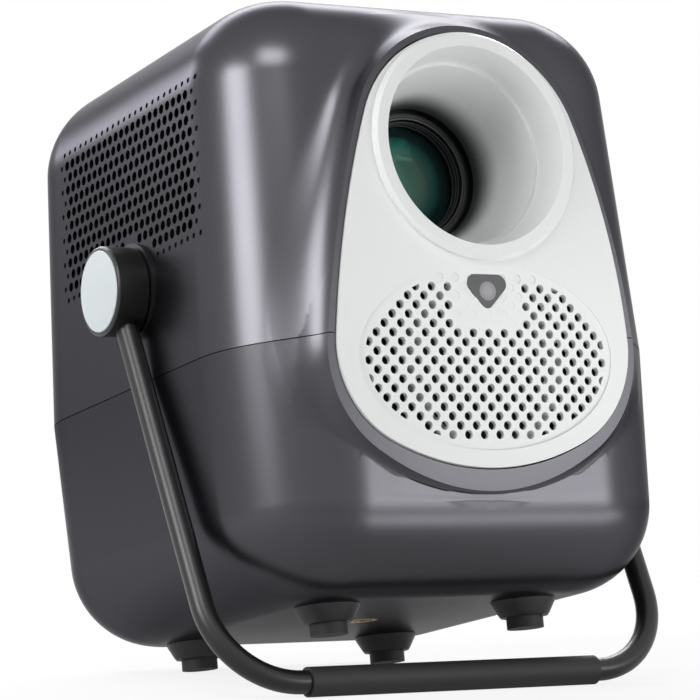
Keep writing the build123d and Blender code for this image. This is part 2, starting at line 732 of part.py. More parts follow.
def build_speaker():
    flange_rear = SPEAKER_FRONT_Y + SPEAKER_FLANGE
    bore = SPEAKER_SURROUND_RADIUS
    throat = SPEAKER_BASKET_RADIUS
    sheet = SPEAKER_FLANGE
    PARTS["speaker_basket"] = turned_y([
        (bore, SPEAKER_FRONT_Y),
        (SPEAKER_RADIUS, SPEAKER_FRONT_Y),
        (SPEAKER_RADIUS, flange_rear),
        (bore + sheet, flange_rear),
        (bore + sheet, flange_rear + SPEAKER_COLLAR),
        (throat + sheet, SPEAKER_BASKET_REAR_Y),
        (CONE_NECK_RADIUS + 2 * SEAT_GAP, SPEAKER_BASKET_REAR_Y),
        (CONE_NECK_RADIUS + 2 * SEAT_GAP, SPEAKER_BASKET_REAR_Y - sheet),
        (throat, SPEAKER_BASKET_REAR_Y - sheet),
        (bore, flange_rear + SPEAKER_COLLAR),
    ], z=SPEAKER_Z)
    rim = SPEAKER_FRONT_Y + 0.4
    outer = SPEAKER_SURROUND_RADIUS - SEAT_GAP
    roll = 3.0
    PARTS["speaker_cone"] = turned_y([
        (0, CONE_NECK_Y - 3),
        (CONE_NECK_RADIUS / 2, CONE_NECK_Y - 2.2),
        (CONE_NECK_RADIUS, CONE_NECK_Y),
        (outer - roll, rim + 1.4),
        (outer - roll / 2, rim),
        (outer, rim + 1.4),
        (outer, rim + 1.4 + CONE_THICKNESS),
        (outer - roll, rim + 1.4 + CONE_THICKNESS),
        (CONE_NECK_RADIUS, CONE_NECK_Y + CONE_THICKNESS),
        (CONE_NECK_RADIUS, SPEAKER_BASKET_REAR_Y - SEAT_GAP),
        (CONE_NECK_RADIUS - CONE_THICKNESS, SPEAKER_BASKET_REAR_Y - SEAT_GAP),
        (CONE_NECK_RADIUS - CONE_THICKNESS, CONE_NECK_Y + CONE_THICKNESS),
        (0, CONE_NECK_Y + CONE_THICKNESS - 2),
    ], z=SPEAKER_Z)
    PARTS["speaker_magnet"] = rod_y(
        MAGNET_RADIUS, SPEAKER_BASKET_REAR_Y, SPEAKER_BASKET_REAR_Y + MAGNET_DEPTH, 0, SPEAKER_Z
    )


# --------------------------------------------------------------------- lens
def lens_disc(radius, edge_front, edge_rear, front_curve, rear_curve):
    """Glass that bulges in front of its edge and, by less, behind it."""
    front_sag = front_curve - math.sqrt(front_curve**2 - radius**2)
    rear_sag = rear_curve - math.sqrt(rear_curve**2 - radius**2)
    apex = edge_front - front_sag
    tail = edge_rear + rear_sag
    glass = rod_y(radius, apex - 1, tail + 1, 0, LENS_Z)
    glass &= Pos(0, apex + front_curve, LENS_Z) * Sphere(front_curve)
    glass &= Pos(0, tail - rear_curve, LENS_Z) * Sphere(rear_curve)
    return glass


def toothed_disc(teeth, turn, thickness):
    """Spur gear blank with tapered teeth, along +Z from 0."""
    pitch = 360 / teeth
    radius = GEAR_MODULE * teeth / 2
    tip = radius + ADDENDUM * GEAR_MODULE
    root = radius - DEDENDUM * GEAR_MODULE
    half = pitch * TOOTH_FILL / 2
    slant = math.degrees(math.tan(math.radians(20)) * GEAR_MODULE / radius)
    points = []
    for tooth in range(teeth):
        middle = turn + tooth * pitch
        corners = ((root, -half - slant), (tip, -half + slant), (tip, half - slant), (root, half + slant))
        for reach, offset in corners:
            angle = math.radians(middle + offset)
            points.append((reach * math.cos(angle), reach * math.sin(angle)))
    return extrude(make_face(Polyline(*points, close=True)), amount=thickness)


def gear_y(teeth, turn, x):
    """Gear that turns about a line along Y, between the gear planes."""
    width = GEAR_REAR_Y - GEAR_FRONT_Y
    return Pos(x, GEAR_REAR_Y, LENS_Z) * Rot(90, 0, 0) * toothed_disc(teeth, turn, width)


def pinion_x():
    return GEAR_MODULE * (RING_TEETH + PINION_TEETH) / 2 + GEAR_BACKLASH


def build_lens():
    ring_rear = BARREL_FRONT_Y + RING_DEPTH
    glass_rear = LENS_SHOULDER_Y
    PARTS["lens_barrel"] = turned_y([
        (BARREL_BORE, BARREL_FRONT_Y),
        (BARREL_RADIUS, BARREL_FRONT_Y),
        (BARREL_RADIUS, BARREL_REAR_Y),
        (LENS_SHOULDER_BORE, BARREL_REAR_Y),
        (LENS_SHOULDER_BORE, glass_rear),
        (BARREL_BORE, glass_rear),
    ])
    glass_radius = BARREL_BORE - SLIDE_FIT
    PARTS["retaining_ring"] = turned_y([
        (RING_BORE + 0.6, BARREL_FRONT_Y + 0.4),
        (glass_radius, BARREL_FRONT_Y + 0.4),
        (glass_radius, ring_rear + 2.0),
        (RING_BORE - 0.6, ring_rear + 2.0),
    ])
    PARTS["front_lens"] = lens_disc(
        glass_radius, LENS_EDGE_FRONT_Y, glass_rear, LENS_FRONT_CURVE, LENS_REAR_CURVE
    ) & rod_y(glass_radius, ring_rear + 2.0, glass_rear, 0, LENS_Z)
    rear = rod_y(LENS_SHOULDER_BORE - SLIDE_FIT, REAR_LENS_Y, REAR_LENS_Y + REAR_LENS_THICKNESS, 0, LENS_Z)
    PARTS["rear_lens"] = rear & (Pos(0, REAR_LENS_Y + LENS_FRONT_CURVE, LENS_Z) * Sphere(LENS_FRONT_CURVE))

    bore = BARREL_RADIUS + SLIDE_FIT
    housing = turned_y([
        (bore, HOUSING_FRONT_Y),
        (HOUSING_RADIUS, HOUSING_FRONT_Y),
        (HOUSING_RADIUS, ENGINE_FRONT_Y),
        (bore, ENGINE_FRONT_Y),
    ])
    half = HOUSING_FLANGE / 2
    low_z = max(LENS_Z - half, ENGINE_BOTTOM_Z)
    high_z = min(LENS_Z + half, ENGINE_TOP_Z)
    flange_y = (ENGINE_FRONT_Y - HOUSING_FLANGE_THICKNESS, ENGINE_FRONT_Y)
    flange = block((-half, half), flange_y, (low_z, high_z))
    flange -= rod_y(bore, HOUSING_FRONT_Y, ENGINE_REAR_Y, 0, LENS_Z)
    housing += flange
    housing -= focus_motor_space(SEAT_GAP)
    PARTS["lens_housing"] = housing

    ring = gear_y(RING_TEETH, 0.0, 0.0)
    ring -= rod_y(HOUSING_RADIUS + SLIDE_FIT, HOUSING_FRONT_Y, ENGINE_FRONT_Y, 0, LENS_Z)
    PARTS["focus_ring"] = ring
    shaft_end = FOCUS_MOTOR_FRONT_Y + FOCUS_SHAFT_DEPTH
    pinion = gear_y(PINION_TEETH, 180 / PINION_TEETH, pinion_x())
    pinion += rod_y(MOTOR_SHAFT_RADIUS, GEAR_FRONT_Y, shaft_end, pinion_x(), LENS_Z)
    PARTS["focus_pinion"] = pinion
    motor = focus_motor_space(0.0)
    motor -= rod_y(
        MOTOR_SHAFT_RADIUS + SLIDE_FIT, FOCUS_MOTOR_FRONT_Y, shaft_end + SEAT_GAP, pinion_x(), LENS_Z
    )
    PARTS["focus_motor"] = motor


def focus_motor_space(gap):
    """Round motor that sits on the front wall of the light engine."""
    return rod_y(FOCUS_MOTOR_RADIUS + gap, FOCUS_MOTOR_FRONT_Y - gap, ENGINE_FRONT_Y, pinion_x(), LENS_Z)


# ------------------------------------------------------------- light engine
def build_engine():
    inner_x = ENGINE_HALF_WIDTH - ENGINE_WALL
    inner_z = (ENGINE_BOTTOM_Z + ENGINE_WALL, ENGINE_TOP_Z - ENGINE_WALL)
    outer = block((-ENGINE_HALF_WIDTH, ENGINE_HALF_WIDTH), (ENGINE_FRONT_Y, ENGINE_REAR_Y),
                  (ENGINE_BOTTOM_Z, ENGINE_TOP_Z))
    front_room = block((-inner_x, inner_x), (ENGINE_FRONT_Y + ENGINE_WALL, BULKHEAD_Y), inner_z)
    rear_start = BULKHEAD_Y + ENGINE_WALL
    rear_room = block((-inner_x, inner_x), (rear_start, ENGINE_REAR_Y - ENGINE_WALL), inner_z)
    housing = outer - front_room - rear_room
    housing -= rod_y(BARREL_RADIUS, ENGINE_FRONT_Y - 1, ENGINE_FRONT_Y + ENGINE_WALL + 1, 0, LENS_Z)
    housing -= rod_y(CONDENSER_RADIUS - ENGINE_WALL, BULKHEAD_Y - 1, rear_start + 1, 0, LENS_Z)
    half_led = LED_OPENING / 2
    housing -= block((-half_led, half_led), (rear_start, ENGINE_REAR_Y + 1),
                     (LENS_Z - half_led, LENS_Z + half_led))
    leg_x = ENGINE_HALF_WIDTH - POST_RADIUS
    for x in (-leg_x, leg_x):
        for y in (ENGINE_FRONT_Y + POST_RADIUS, ENGINE_REAR_Y - POST_RADIUS):
            housing += rod_z(POST_RADIUS, MID_TOP_Z, ENGINE_BOTTOM_Z, x, y)
            housing += rod_z(POST_RADIUS, ENGINE_TOP_Z, DRIVE_BOTTOM_Z, x, y)
    fan_inner_x = FAN_OUTER_X + FAN_THICKNESS
    for y in (FAN_Y - FAN_POST_PITCH, FAN_Y + FAN_POST_PITCH):
        for z in (FAN_Z - FAN_POST_PITCH, FAN_Z + FAN_POST_PITCH):
            housing += rod_x(FAN_POST_RADIUS, fan_inner_x, -ENGINE_HALF_WIDTH, y, z)
    PARTS["engine_housing"] = housing

    half_x = inner_x - SEAT_GAP
    sheet_z = (inner_z[0] + SEAT_GAP, inner_z[1] - SEAT_GAP)
    PARTS["lcd_panel"] = block((-half_x, half_x), (PANEL_Y, PANEL_Y + PANEL_THICKNESS), sheet_z)
    sheets = []
    for y in (PANEL_Y - FRESNEL_GAP - FRESNEL_THICKNESS, PANEL_Y + PANEL_THICKNESS + FRESNEL_GAP):
        sheets.append(block((-half_x, half_x), (y, y + FRESNEL_THICKNESS), sheet_z))
    PARTS["fresnel_lenses"] = group(sheets)
    apex = rear_start + CONDENSER_RIM + CONDENSER_CURVE - math.sqrt(CONDENSER_CURVE**2 - CONDENSER_RADIUS**2)
    apex = min(apex, ENGINE_REAR_Y - LED_BOARD_THICKNESS)
    condenser = rod_y(CONDENSER_RADIUS, rear_start, apex, 0, LENS_Z)
    condenser &= Pos(0, apex - CONDENSER_CURVE, LENS_Z) * Sphere(CONDENSER_CURVE)
    PARTS["condenser_lens"] = condenser

    half_board = LED_BOARD_SIZE / 2
    board_rear = ENGINE_REAR_Y + LED_BOARD_THICKNESS
    board = block((-half_board, half_board), (ENGINE_REAR_Y, board_rear),
                  (LENS_Z - half_board, LENS_Z + half_board))
    half_chip = LED_CHIP / 2
    board += block((-half_chip, half_chip), (ENGINE_REAR_Y - 1, ENGINE_REAR_Y),
                   (LENS_Z - half_chip, LENS_Z + half_chip))
    PARTS["led_board"] = board
    half_sink = SINK_WIDTH / 2
    sink_z = (LENS_Z - half_board, LENS_Z + half_board)
    sink = block((-half_sink, half_sink), (board_rear, board_rear + SINK_BASE), sink_z)
    fin_pitch = (SINK_WIDTH - FIN_THICKNESS) / (SINK_FINS - 1)
    for fin in range(SINK_FINS):
        x = -half_sink + fin * fin_pitch
        sink += block((x, x + FIN_THICKNESS), (board_rear + SINK_BASE, SINK_REAR_Y), sink_z)
    PARTS["heat_sink"] = sink


def build_fan():
    half = FAN_SIZE / 2
    inner_x = FAN_OUTER_X + FAN_THICKNESS
    frame = block((FAN_OUTER_X, inner_x), (FAN_Y - half, FAN_Y + half), (FAN_Z - half, FAN_Z + half))
    spokes_x = inner_x - FAN_SPOKE_DEPTH
    frame -= rod_x(FAN_BORE, FAN_OUTER_X - 1, inner_x + 1, FAN_Y, FAN_Z)
    spokes = rod_x(ROTOR_HUB_RADIUS, spokes_x, inner_x, FAN_Y, FAN_Z)
    for turn in (45, 135):
        spoke = Box(FAN_SPOKE_DEPTH, 2 * FAN_BORE + 1, FAN_SPOKE_WIDTH)
        spokes += Pos((spokes_x + inner_x) / 2, FAN_Y, FAN_Z) * Rot(turn, 0, 0) * spoke
    frame += spokes
    frame -= rod_x(FAN_SHAFT_RADIUS + SLIDE_FIT, spokes_x - 1, inner_x + 1, FAN_Y, FAN_Z)
    PARTS["fan_frame"] = frame

    outer_x = spokes_x - SEAT_GAP
    hub = rod_x(ROTOR_HUB_RADIUS, outer_x - ROTOR_DEPTH, outer_x, FAN_Y, FAN_Z)
    hub += rod_x(FAN_SHAFT_RADIUS, outer_x, inner_x - 0.2, FAN_Y, FAN_Z)
    middle_x = outer_x - ROTOR_DEPTH / 2
    blade_height = ROTOR_RADIUS - ROTOR_HUB_RADIUS + 1.5
    blade = Box(ROTOR_DEPTH / math.cos(math.radians(BLADE_PITCH)), BLADE_THICKNESS, blade_height)
    blade = Pos(0, 0, ROTOR_HUB_RADIUS - 1.5 + blade_height / 2) * Rot(0, 0, BLADE_PITCH) * blade
    swept = rod_x(ROTOR_RADIUS, outer_x - ROTOR_DEPTH, outer_x, FAN_Y, FAN_Z)
    for index in range(ROTOR_BLADES):
        placed = Pos(middle_x, FAN_Y, FAN_Z) * Rot(index * 360 / ROTOR_BLADES, 0, 0) * blade
        hub += placed & swept
    PARTS["fan_rotor"] = hub


# -------------------------------------------------------- frame and boards
def build_frame():
    inset = WALL + SEAT_GAP + (MID_TOP_Z - LOWER_HEIGHT) * UPPER_SLOPE
    bottom = MID_TOP_Z - MID_THICKNESS
    plate = Pos(0, 0, bottom) * extrude(plan(inset), amount=MID_THICKNESS)
    plate &= block((-BODY_WIDTH, BODY_WIDTH), (MID_FRONT_Y, BODY_DEPTH), (0, BODY_HEIGHT))
    plate -= block((-24, 24), (4, 40), (0, BODY_HEIGHT))
    screws = []
    for x in (-COLUMN_X, COLUMN_X):
        for y in (COLUMN_FRONT_Y, COLUMN_REAR_Y):
            plate -= rod_z(SCREW_RADIUS + SLIDE_FIT, 0, BODY_HEIGHT, x, y)
            screw = rod_z(SCREW_RADIUS - SLIDE_FIT, MID_TOP_Z - SCREW_LENGTH + 1, MID_TOP_Z, x, y)
            screw += rod_z(SCREW_HEAD_RADIUS, MID_TOP_Z, MID_TOP_Z + SCREW_HEAD_HEIGHT, x, y)
            screws.append(screw)
    PARTS["mid_frame"] = plate
    PARTS["case_screws"] = group(screws)


def build_boards():
    top = MAIN_BOARD_Z + BOARD_THICKNESS
    main = block((-MAIN_HALF_WIDTH, MAIN_HALF_WIDTH), (MAIN_FRONT_Y, MAIN_REAR_Y), (MAIN_BOARD_Z, top))
    main += block((-16, 16), (-6, 26), (top, top + 8))
    main += block((-40, -26), (-30, -6), (top, top + 3))
    main += block((24, 40), (-20, 2), (top, top + 2.5))
    PARTS["main_board"] = main
    top = POWER_BOARD_Z + BOARD_THICKNESS
    power = block((-POWER_HALF_WIDTH, POWER_HALF_WIDTH), (POWER_FRONT_Y, POWER_REAR_Y), (POWER_BOARD_Z, top))
    power += block((-24, 10), (0, 34), (top, top + 22))
    power += rod_z(9, top, top + 24, 34, 20)
    power += rod_z(6, top, top + 18, -44, 44)
    power += rod_z(6, top, top + 18, -44, 24)
    PARTS["power_board"] = power


def socket(x, size):
    """Block of a socket on the main board, mouth flush with the panel."""
    base = MAIN_BOARD_Z + BOARD_THICKNESS
    width, depth, height = size
    return block((x - width / 2, x + width / 2), (IO_FACE_Y - depth, IO_FACE_Y), (base, base + height))


def socket_middle(size):
    return MAIN_BOARD_Z + BOARD_THICKNESS + size[2] / 2


def mouth(x, size, opening):
    """Rectangular hole in a socket's face, with its contact tongue left in."""
    z = socket_middle(size)
    half_x = opening[0] / 2
    half_z = opening[1] / 2
    start = IO_FACE_Y - SOCKET_DEPTH
    hole = block((x - half_x, x + half_x), (start, IO_FACE_Y + 1), (z - half_z, z + half_z))
    tongue_x = half_x * 0.8
    return hole - block((x - tongue_x, x + tongue_x), (start, IO_FACE_Y - 1), (z - 0.6, z + 0.6))


def build_sockets():
    panel = bar(io_outline(-IO_FIT), IO_FACE_Y - IO_THICKNESS, IO_FACE_Y)
    flange = bar(io_outline(IO_MARGIN), 0, BODY_DEPTH) & lower_form(WALL + SLIDE_FIT)
    panel += flange - lower_form(WALL + SLIDE_FIT + IO_FLANGE)
    boxes = [(HDMI_X, HDMI_SIZE), (AUDIO_X, AUDIO_SIZE), (INLET_X, INLET_SIZE)]
    boxes += [(x, USB_SIZE) for x in USB_X]
    base = MAIN_BOARD_Z + BOARD_THICKNESS
    for x, (width, depth, height) in boxes:
        half = width / 2 + IO_FIT
        panel -= block((x - half, x + half), (0, BODY_DEPTH), (base - IO_FIT, base + height + IO_FIT))
    panel -= rod_y(IR_RADIUS, 0, BODY_DEPTH, IR_X, IR_Z)
    panel &= above(IO_BOTTOM_Z - IO_MARGIN)
    PARTS["io_panel"] = panel
    PARTS["hdmi_socket"] = socket(HDMI_X, HDMI_SIZE) - mouth(HDMI_X, HDMI_SIZE, HDMI_MOUTH)
    usb = [socket(x, USB_SIZE) - mouth(x, USB_SIZE, USB_MOUTH) for x in USB_X]
    PARTS["usb_sockets"] = group(usb)
    start = IO_FACE_Y - SOCKET_DEPTH
    audio = socket(AUDIO_X, AUDIO_SIZE)
    audio -= rod_y(AUDIO_BORE, start, IO_FACE_Y + 1, AUDIO_X, socket_middle(AUDIO_SIZE))
    PARTS["audio_socket"] = audio
    inlet = socket(INLET_X, INLET_SIZE)
    inlet -= rod_y(INLET_BORE, start, IO_FACE_Y + 1, INLET_X, socket_middle(INLET_SIZE))
    inlet += rod_y(INLET_PIN, start - 1, IO_FACE_Y - 1, INLET_X, socket_middle(INLET_SIZE))
    PARTS["power_inlet"] = inlet
    PARTS["ir_window"] = rod_y(
        IR_RADIUS - SENSOR_FIT, IO_FACE_Y - IR_THICKNESS, IO_FACE_Y + 0.4, IR_X, IR_Z
    )


# --------------------------------------------------------- bail and pivots
def bail_down():
    """Unit vector from the pivot to the grip in the Y-Z plane, chosen so that
    the grip and the rear feet touch the same floor at the standing tilt."""
    tilt = math.radians(STAND_TILT)
    heel_y = REAR_FOOT_Y + PAD_RADIUS
    floor_height = -heel_y * math.sin(tilt) - FOOT_HEIGHT * math.cos(tilt)
    # The pivot's height over that floor, less the grip's own radius, is how far
    # the bail has to reach straight down.
    pivot_height = -PIVOT_Y * math.sin(tilt) + PIVOT_Z * math.cos(tilt) - floor_height
    lean = math.acos((pivot_height - GRIP_RADIUS) / BAIL_REACH)
    return -math.sin(lean - tilt), -math.cos(lean - tilt)


def bail_plane():
    """Plane of the bail: local x = X, local y = from the grip up to the pivot."""
    down_y, down_z = bail_down()
    return Plane(origin=(0, PIVOT_Y, PIVOT_Z), x_dir=(1, 0, 0), z_dir=(0, down_z, -down_y))


def bail_path():
    """Half the bail's centre line as a list of plane points, pivot to middle."""
    slope = (BAIL_TOP_X - BAIL_FOOT_X) / BAIL_REACH
    start = (BAIL_TOP_X - slope * TUBE_ENTRY, -TUBE_ENTRY)
    corner = (BAIL_FOOT_X, -BAIL_REACH)
    return [start, corner]


def build_bail():
    plane = bail_plane()
    start, corner = bail_path()
    points = [(-start[0], start[1]), (-corner[0], corner[1]), corner, start]
    line = FilletPolyline(*points, radius=BAIL_BEND_RADIUS)
    centre_line = plane * line
    section_plane = Plane(origin=centre_line @ 0, z_dir=centre_line % 0)
    tube = sweep(section_plane * Circle(BAIL_TUBE_RADIUS), path=centre_line)
    bore = sweep(section_plane * Circle(BAIL_TUBE_BORE), path=centre_line)
    PARTS["bail_tube"] = tube - bore
    grip_y = PIVOT_Y + BAIL_REACH * bail_down()[0]
    grip_z = PIVOT_Z + BAIL_REACH * bail_down()[1]
    grip = rod_x(GRIP_RADIUS, -GRIP_HALF_LENGTH, GRIP_HALF_LENGTH, grip_y, grip_z)
    grip -= rod_x(BAIL_TUBE_RADIUS, -BODY_WIDTH, BODY_WIDTH, grip_y, grip_z)
    PARTS["bail_grip"] = grip

    hubs = []
    caps = []
    washers = []
    bolts = []
    brackets = []
    outer_wall = upper_form(0)
    head_x = CAP_INNER_X - SEAT_GAP - BOLT_HEAD_THICKNESS
    for side in SIDES:
        hub = pivot_rod(HUB_RADIUS, HUB_INNER_X, HUB_FACE_X, side)
        hub = fillet(hub.edges().filter_by(GeomType.CIRCLE), 0.8)
        hub -= pivot_rod(CAP_RADIUS + SLIDE_FIT, CAP_INNER_X, HUB_FACE_X + 1, side)
        hub -= pivot_rod(BOLT_HEAD_RADIUS + SEAT_GAP, head_x - SEAT_GAP, CAP_FACE_X, side)
        hub -= pivot_rod(BOLT_RADIUS + SLIDE_FIT, HUB_INNER_X - 1, CAP_FACE_X, side)
        hubs.append(hub - tube)
        cap = pivot_rod(CAP_RADIUS, CAP_INNER_X, CAP_FACE_X, side)
        rim = cap.faces().sort_by(Axis.X)[-1 if side > 0 else 0].edges()
        caps.append(fillet(rim, 0.4))
        washer = pivot_rod(WASHER_RADIUS, HUB_INNER_X - 5, HUB_INNER_X - SEAT_GAP, side) - outer_wall
        washers.append(washer - pivot_rod(BOLT_RADIUS + SEAT_GAP, 0, CAP_FACE_X, side))
        bolt = pivot_rod(BOLT_RADIUS, BOLT_INNER_X, head_x + 0.5, side)
        bolts.append(bolt + pivot_rod(BOLT_HEAD_RADIUS, head_x, head_x + BOLT_HEAD_THICKNESS, side))
        brackets.append(pivot_bracket(side))
    PARTS["pivot_hubs"] = group(hubs)
    PARTS["pivot_caps"] = group(caps)
    PARTS["pivot_washers"] = group(washers)
    PARTS["pivot_bolts"] = group(bolts)
    PARTS["pivot_brackets"] = group(brackets)


def pivot_rod(radius, x_near, x_far, side):
    """Disc or pin on the pivot's axis, on one side of the casing."""
    low, high = sorted((side * x_near, side * x_far))
    return rod_x(radius, low, high, PIVOT_Y, PIVOT_Z)


def pivot_bracket(side):
    """Steel angle inside the wall that the pivot's bolt is screwed into."""
    y_span = (PIVOT_Y - BRACKET_HALF_LENGTH, PIVOT_Y + BRACKET_HALF_LENGTH)
    wall_x = sorted((side * (BRACKET_X - BRACKET_THICKNESS), side * BRACKET_X))
    foot_x = sorted((side * (BRACKET_X - BRACKET_FOOT), side * BRACKET_X))
    angle = block(wall_x, y_span, (MID_TOP_Z, PIVOT_Z + BRACKET_RISE))
    angle += block(foot_x, y_span, (MID_TOP_Z, MID_TOP_Z + BRACKET_THICKNESS))
    return angle - pivot_rod(BOLT_RADIUS + SLIDE_FIT, 0, BODY_WIDTH, side)


def build_feet():
    casing = lower_form(0)
    bases = []
    pads = []
    for x in (-FOOT_X, FOOT_X):
        for y in (FRONT_FOOT_Y, REAR_FOOT_Y):
            base = turned_z([
                (0, 1),
                (FOOT_TOP_RADIUS, 1),
                (FOOT_TOP_RADIUS, 0),
                (FOOT_TOP_RADIUS - 0.3, -0.8),
                (FOOT_RIM_RADIUS, -FOOT_BASE_HEIGHT + 0.8),
                (FOOT_RIM_RADIUS - 0.6, -FOOT_BASE_HEIGHT),
                (PAD_RADIUS, -FOOT_BASE_HEIGHT),
                (PAD_RADIUS, -FOOT_BASE_HEIGHT + 1),
                (0, -FOOT_BASE_HEIGHT + 1),
            ], x, y)
            bases.append(base - casing)
            pads.append(turned_z([
                (0, -FOOT_BASE_HEIGHT + 1),
                (PAD_RADIUS, -FOOT_BASE_HEIGHT + 1),
                (PAD_RADIUS, -FOOT_HEIGHT),
                (0, -FOOT_HEIGHT),
            ], x, y))
    PARTS["foot_bases"] = group(bases)
    PARTS["foot_pads"] = group(pads)


# --------------------------------------------------------------- disc drive
def build_drive():
    top = DRIVE_BOTTOM_Z + DRIVE_HEIGHT
    cover_z = top - COVER_SHEET
    width = (-DRIVE_HALF_WIDTH, DRIVE_HALF_WIDTH)
    depth = (DRIVE_FRONT_Y, DRIVE_REAR_Y)
    inner_x = DRIVE_HALF_WIDTH - DRIVE_WALL
    chassis = block(width, depth, (DRIVE_BOTTOM_Z, cover_z))
    floor_z = DRIVE_BOTTOM_Z + DRIVE_SHEET
    chassis -= block((-inner_x, inner_x), (DRIVE_FRONT_Y + DRIVE_SHEET, DRIVE_REAR_Y + 1), (floor_z, top))
    PARTS["drive_chassis"] = chassis
    PARTS["drive_cover"] = block(width, depth, (cover_z, top))
    half_w, half_d = DRIVE_BOARD_SIZE[0] / 2, DRIVE_BOARD_SIZE[1] / 2
    board = block((-half_w, half_w), (-half_d, half_d), (top, top + BOARD_THICKNESS))
    board += block((-8, 8), (-8, 8), (top + BOARD_THICKNESS, top + BOARD_THICKNESS + 1.5))
    PARTS["drive_board"] = board

    rail_outer = inner_x - SEAT_GAP
    rail_inner = rail_outer - RAIL_THICKNESS
    tray_half = rail_inner - SEAT_GAP
    tray_z = (floor_z + TRAY_UNDER_GAP, floor_z + TRAY_UNDER_GAP + TRAY_THICKNESS)
    rail_middle = (tray_z[0] + tray_z[1]) / 2
    rail_front = DRIVE_FRONT_Y + DRIVE_SHEET + 2.0
    rails = []
    for side in SIDES:
        span = sorted((side * rail_inner, side * rail_outer))
        rail_z = (rail_middle - RAIL_HEIGHT / 2, rail_middle + RAIL_HEIGHT / 2)
        rails.append(block(span, (rail_front, rail_front + RAIL_LENGTH), rail_z))
    PARTS["tray_rails"] = group(rails)

    tray_front_y = DRIVE_FRONT_Y + DRIVE_SHEET + TRAY_UNDER_GAP
    tray = block((-tray_half, tray_half), (tray_front_y, DRIVE_REAR_Y + 1.0), tray_z)
    neck_z = (tray_z[0] + 0.4, tray_z[1] - 0.4)
    neck = block((-TRAY_NECK_HALF_WIDTH, TRAY_NECK_HALF_WIDTH), (DRIVE_REAR_Y, BODY_DEPTH), neck_z)
    tray += neck & upper_form(WALL + 0.1)
    recess_z = tray_z[1] - DISC_RECESS
    tray -= rod_z(DISC_RADIUS + DISC_CLEARANCE, recess_z, top + 1, 0, DISC_Y)
    tray -= block((WINDOW_LEFT_X, WINDOW_RIGHT_X), (WINDOW_OUTER_Y, WINDOW_INNER_Y), (0, BODY_HEIGHT))
    pocket_top = tray_z[0] + SPINDLE_HEIGHT + SLIDE_FIT
    tray -= rod_z(SPINDLE_RADIUS + SPINDLE_POCKET_FIT, 0, pocket_top, 0, DISC_Y)
    tray -= rod_z(SPINDLE_SHAFT + 2 * SEAT_GAP, 0, BODY_HEIGHT, 0, DISC_Y)
    rods = []
    rod_span = (WINDOW_OUTER_Y - ROD_SEAT, WINDOW_INNER_Y + ROD_SEAT / 2)
    for x in (-ROD_X, ROD_X):
        rod = rod_y(ROD_RADIUS, *rod_span, x, ROD_Z)
        rods.append(rod)
        tray -= rod
    PARTS["disc_tray"] = tray
    PARTS["guide_rods"] = group(rods)

    plug = (upper_form(0) - upper_form(WALL)) & bar(slot_outline(SLOT_GAP), 0, BODY_DEPTH)
    PARTS["tray_front"] = plug - bar(eject_outline(0.0), 0, BODY_DEPTH)
    eject = bar(eject_outline(-BUTTON_FIT), DRIVE_REAR_Y + 11.0, BODY_DEPTH) & upper_form(-EJECT_PROUD)
    PARTS["eject_button"] = eject

    shaft_bottom = tray_z[0] + 1.0
    spindle = rod_z(SPINDLE_RADIUS, tray_z[0], pocket_top - SLIDE_FIT, 0, DISC_Y)
    PARTS["spindle_motor"] = spindle - rod_z(
        SPINDLE_SHAFT + SLIDE_FIT, shaft_bottom - 0.2, BODY_HEIGHT, 0, DISC_Y
    )
    plate_z = recess_z + TURNTABLE_LIFT
    table = rod_z(TURNTABLE_RADIUS, plate_z, plate_z + TURNTABLE_SHEET, 0, DISC_Y)
    hub_top = plate_z + TURNTABLE_SHEET + TURNTABLE_HUB
    table += rod_z(DISC_HOLE_RADIUS, plate_z, hub_top, 0, DISC_Y)
    table += rod_z(SPINDLE_SHAFT, shaft_bottom, plate_z, 0, DISC_Y)
    PARTS["turntable"] = table

    outer_y = SLED_INNER_Y - SLED_LENGTH
    sled_z = (SLED_BOTTOM_Z, SLED_BOTTOM_Z + SLED_HEIGHT)
    sled = block((WINDOW_LEFT_X + SEAT_GAP, ROD_X + 2.0), (outer_y, SLED_INNER_Y), sled_z)
    tab_x = SCREW_X - LEAD_SCREW_RADIUS - SEAT_GAP
    sled += block((ROD_X, tab_x), (outer_y, outer_y + SLED_TAB), sled_z)
    for x in (-ROD_X, ROD_X):
        sled -= rod_y(ROD_RADIUS + SLIDE_FIT, outer_y - 1, SLED_INNER_Y + 1, x, ROD_Z)
    lens_y = outer_y + PICKUP_LENS_RADIUS + 1.0
    lens = rod_z(PICKUP_LENS_RADIUS, sled_z[1], sled_z[1] + PICKUP_LENS_HEIGHT, 0, lens_y)
    PARTS["pickup_sled"] = group([sled, lens])
    motor_front = WINDOW_INNER_Y - SLED_MOTOR_LENGTH
    PARTS["sled_motor"] = rod_y(SLED_MOTOR_RADIUS, motor_front, WINDOW_INNER_Y, SCREW_X, ROD_Z)
    PARTS["lead_screw"] = rod_y(
        LEAD_SCREW_RADIUS, WINDOW_OUTER_Y + SEAT_GAP, motor_front - SEAT_GAP, SCREW_X, ROD_Z
    )


# --------------------------------------------------------------------- keys
def key_foot_z():
    return BODY_HEIGHT + KEY_PROUD - KEY_LENGTH


def key_board_top():
    return key_foot_z() - KEY_SWITCH_GAP


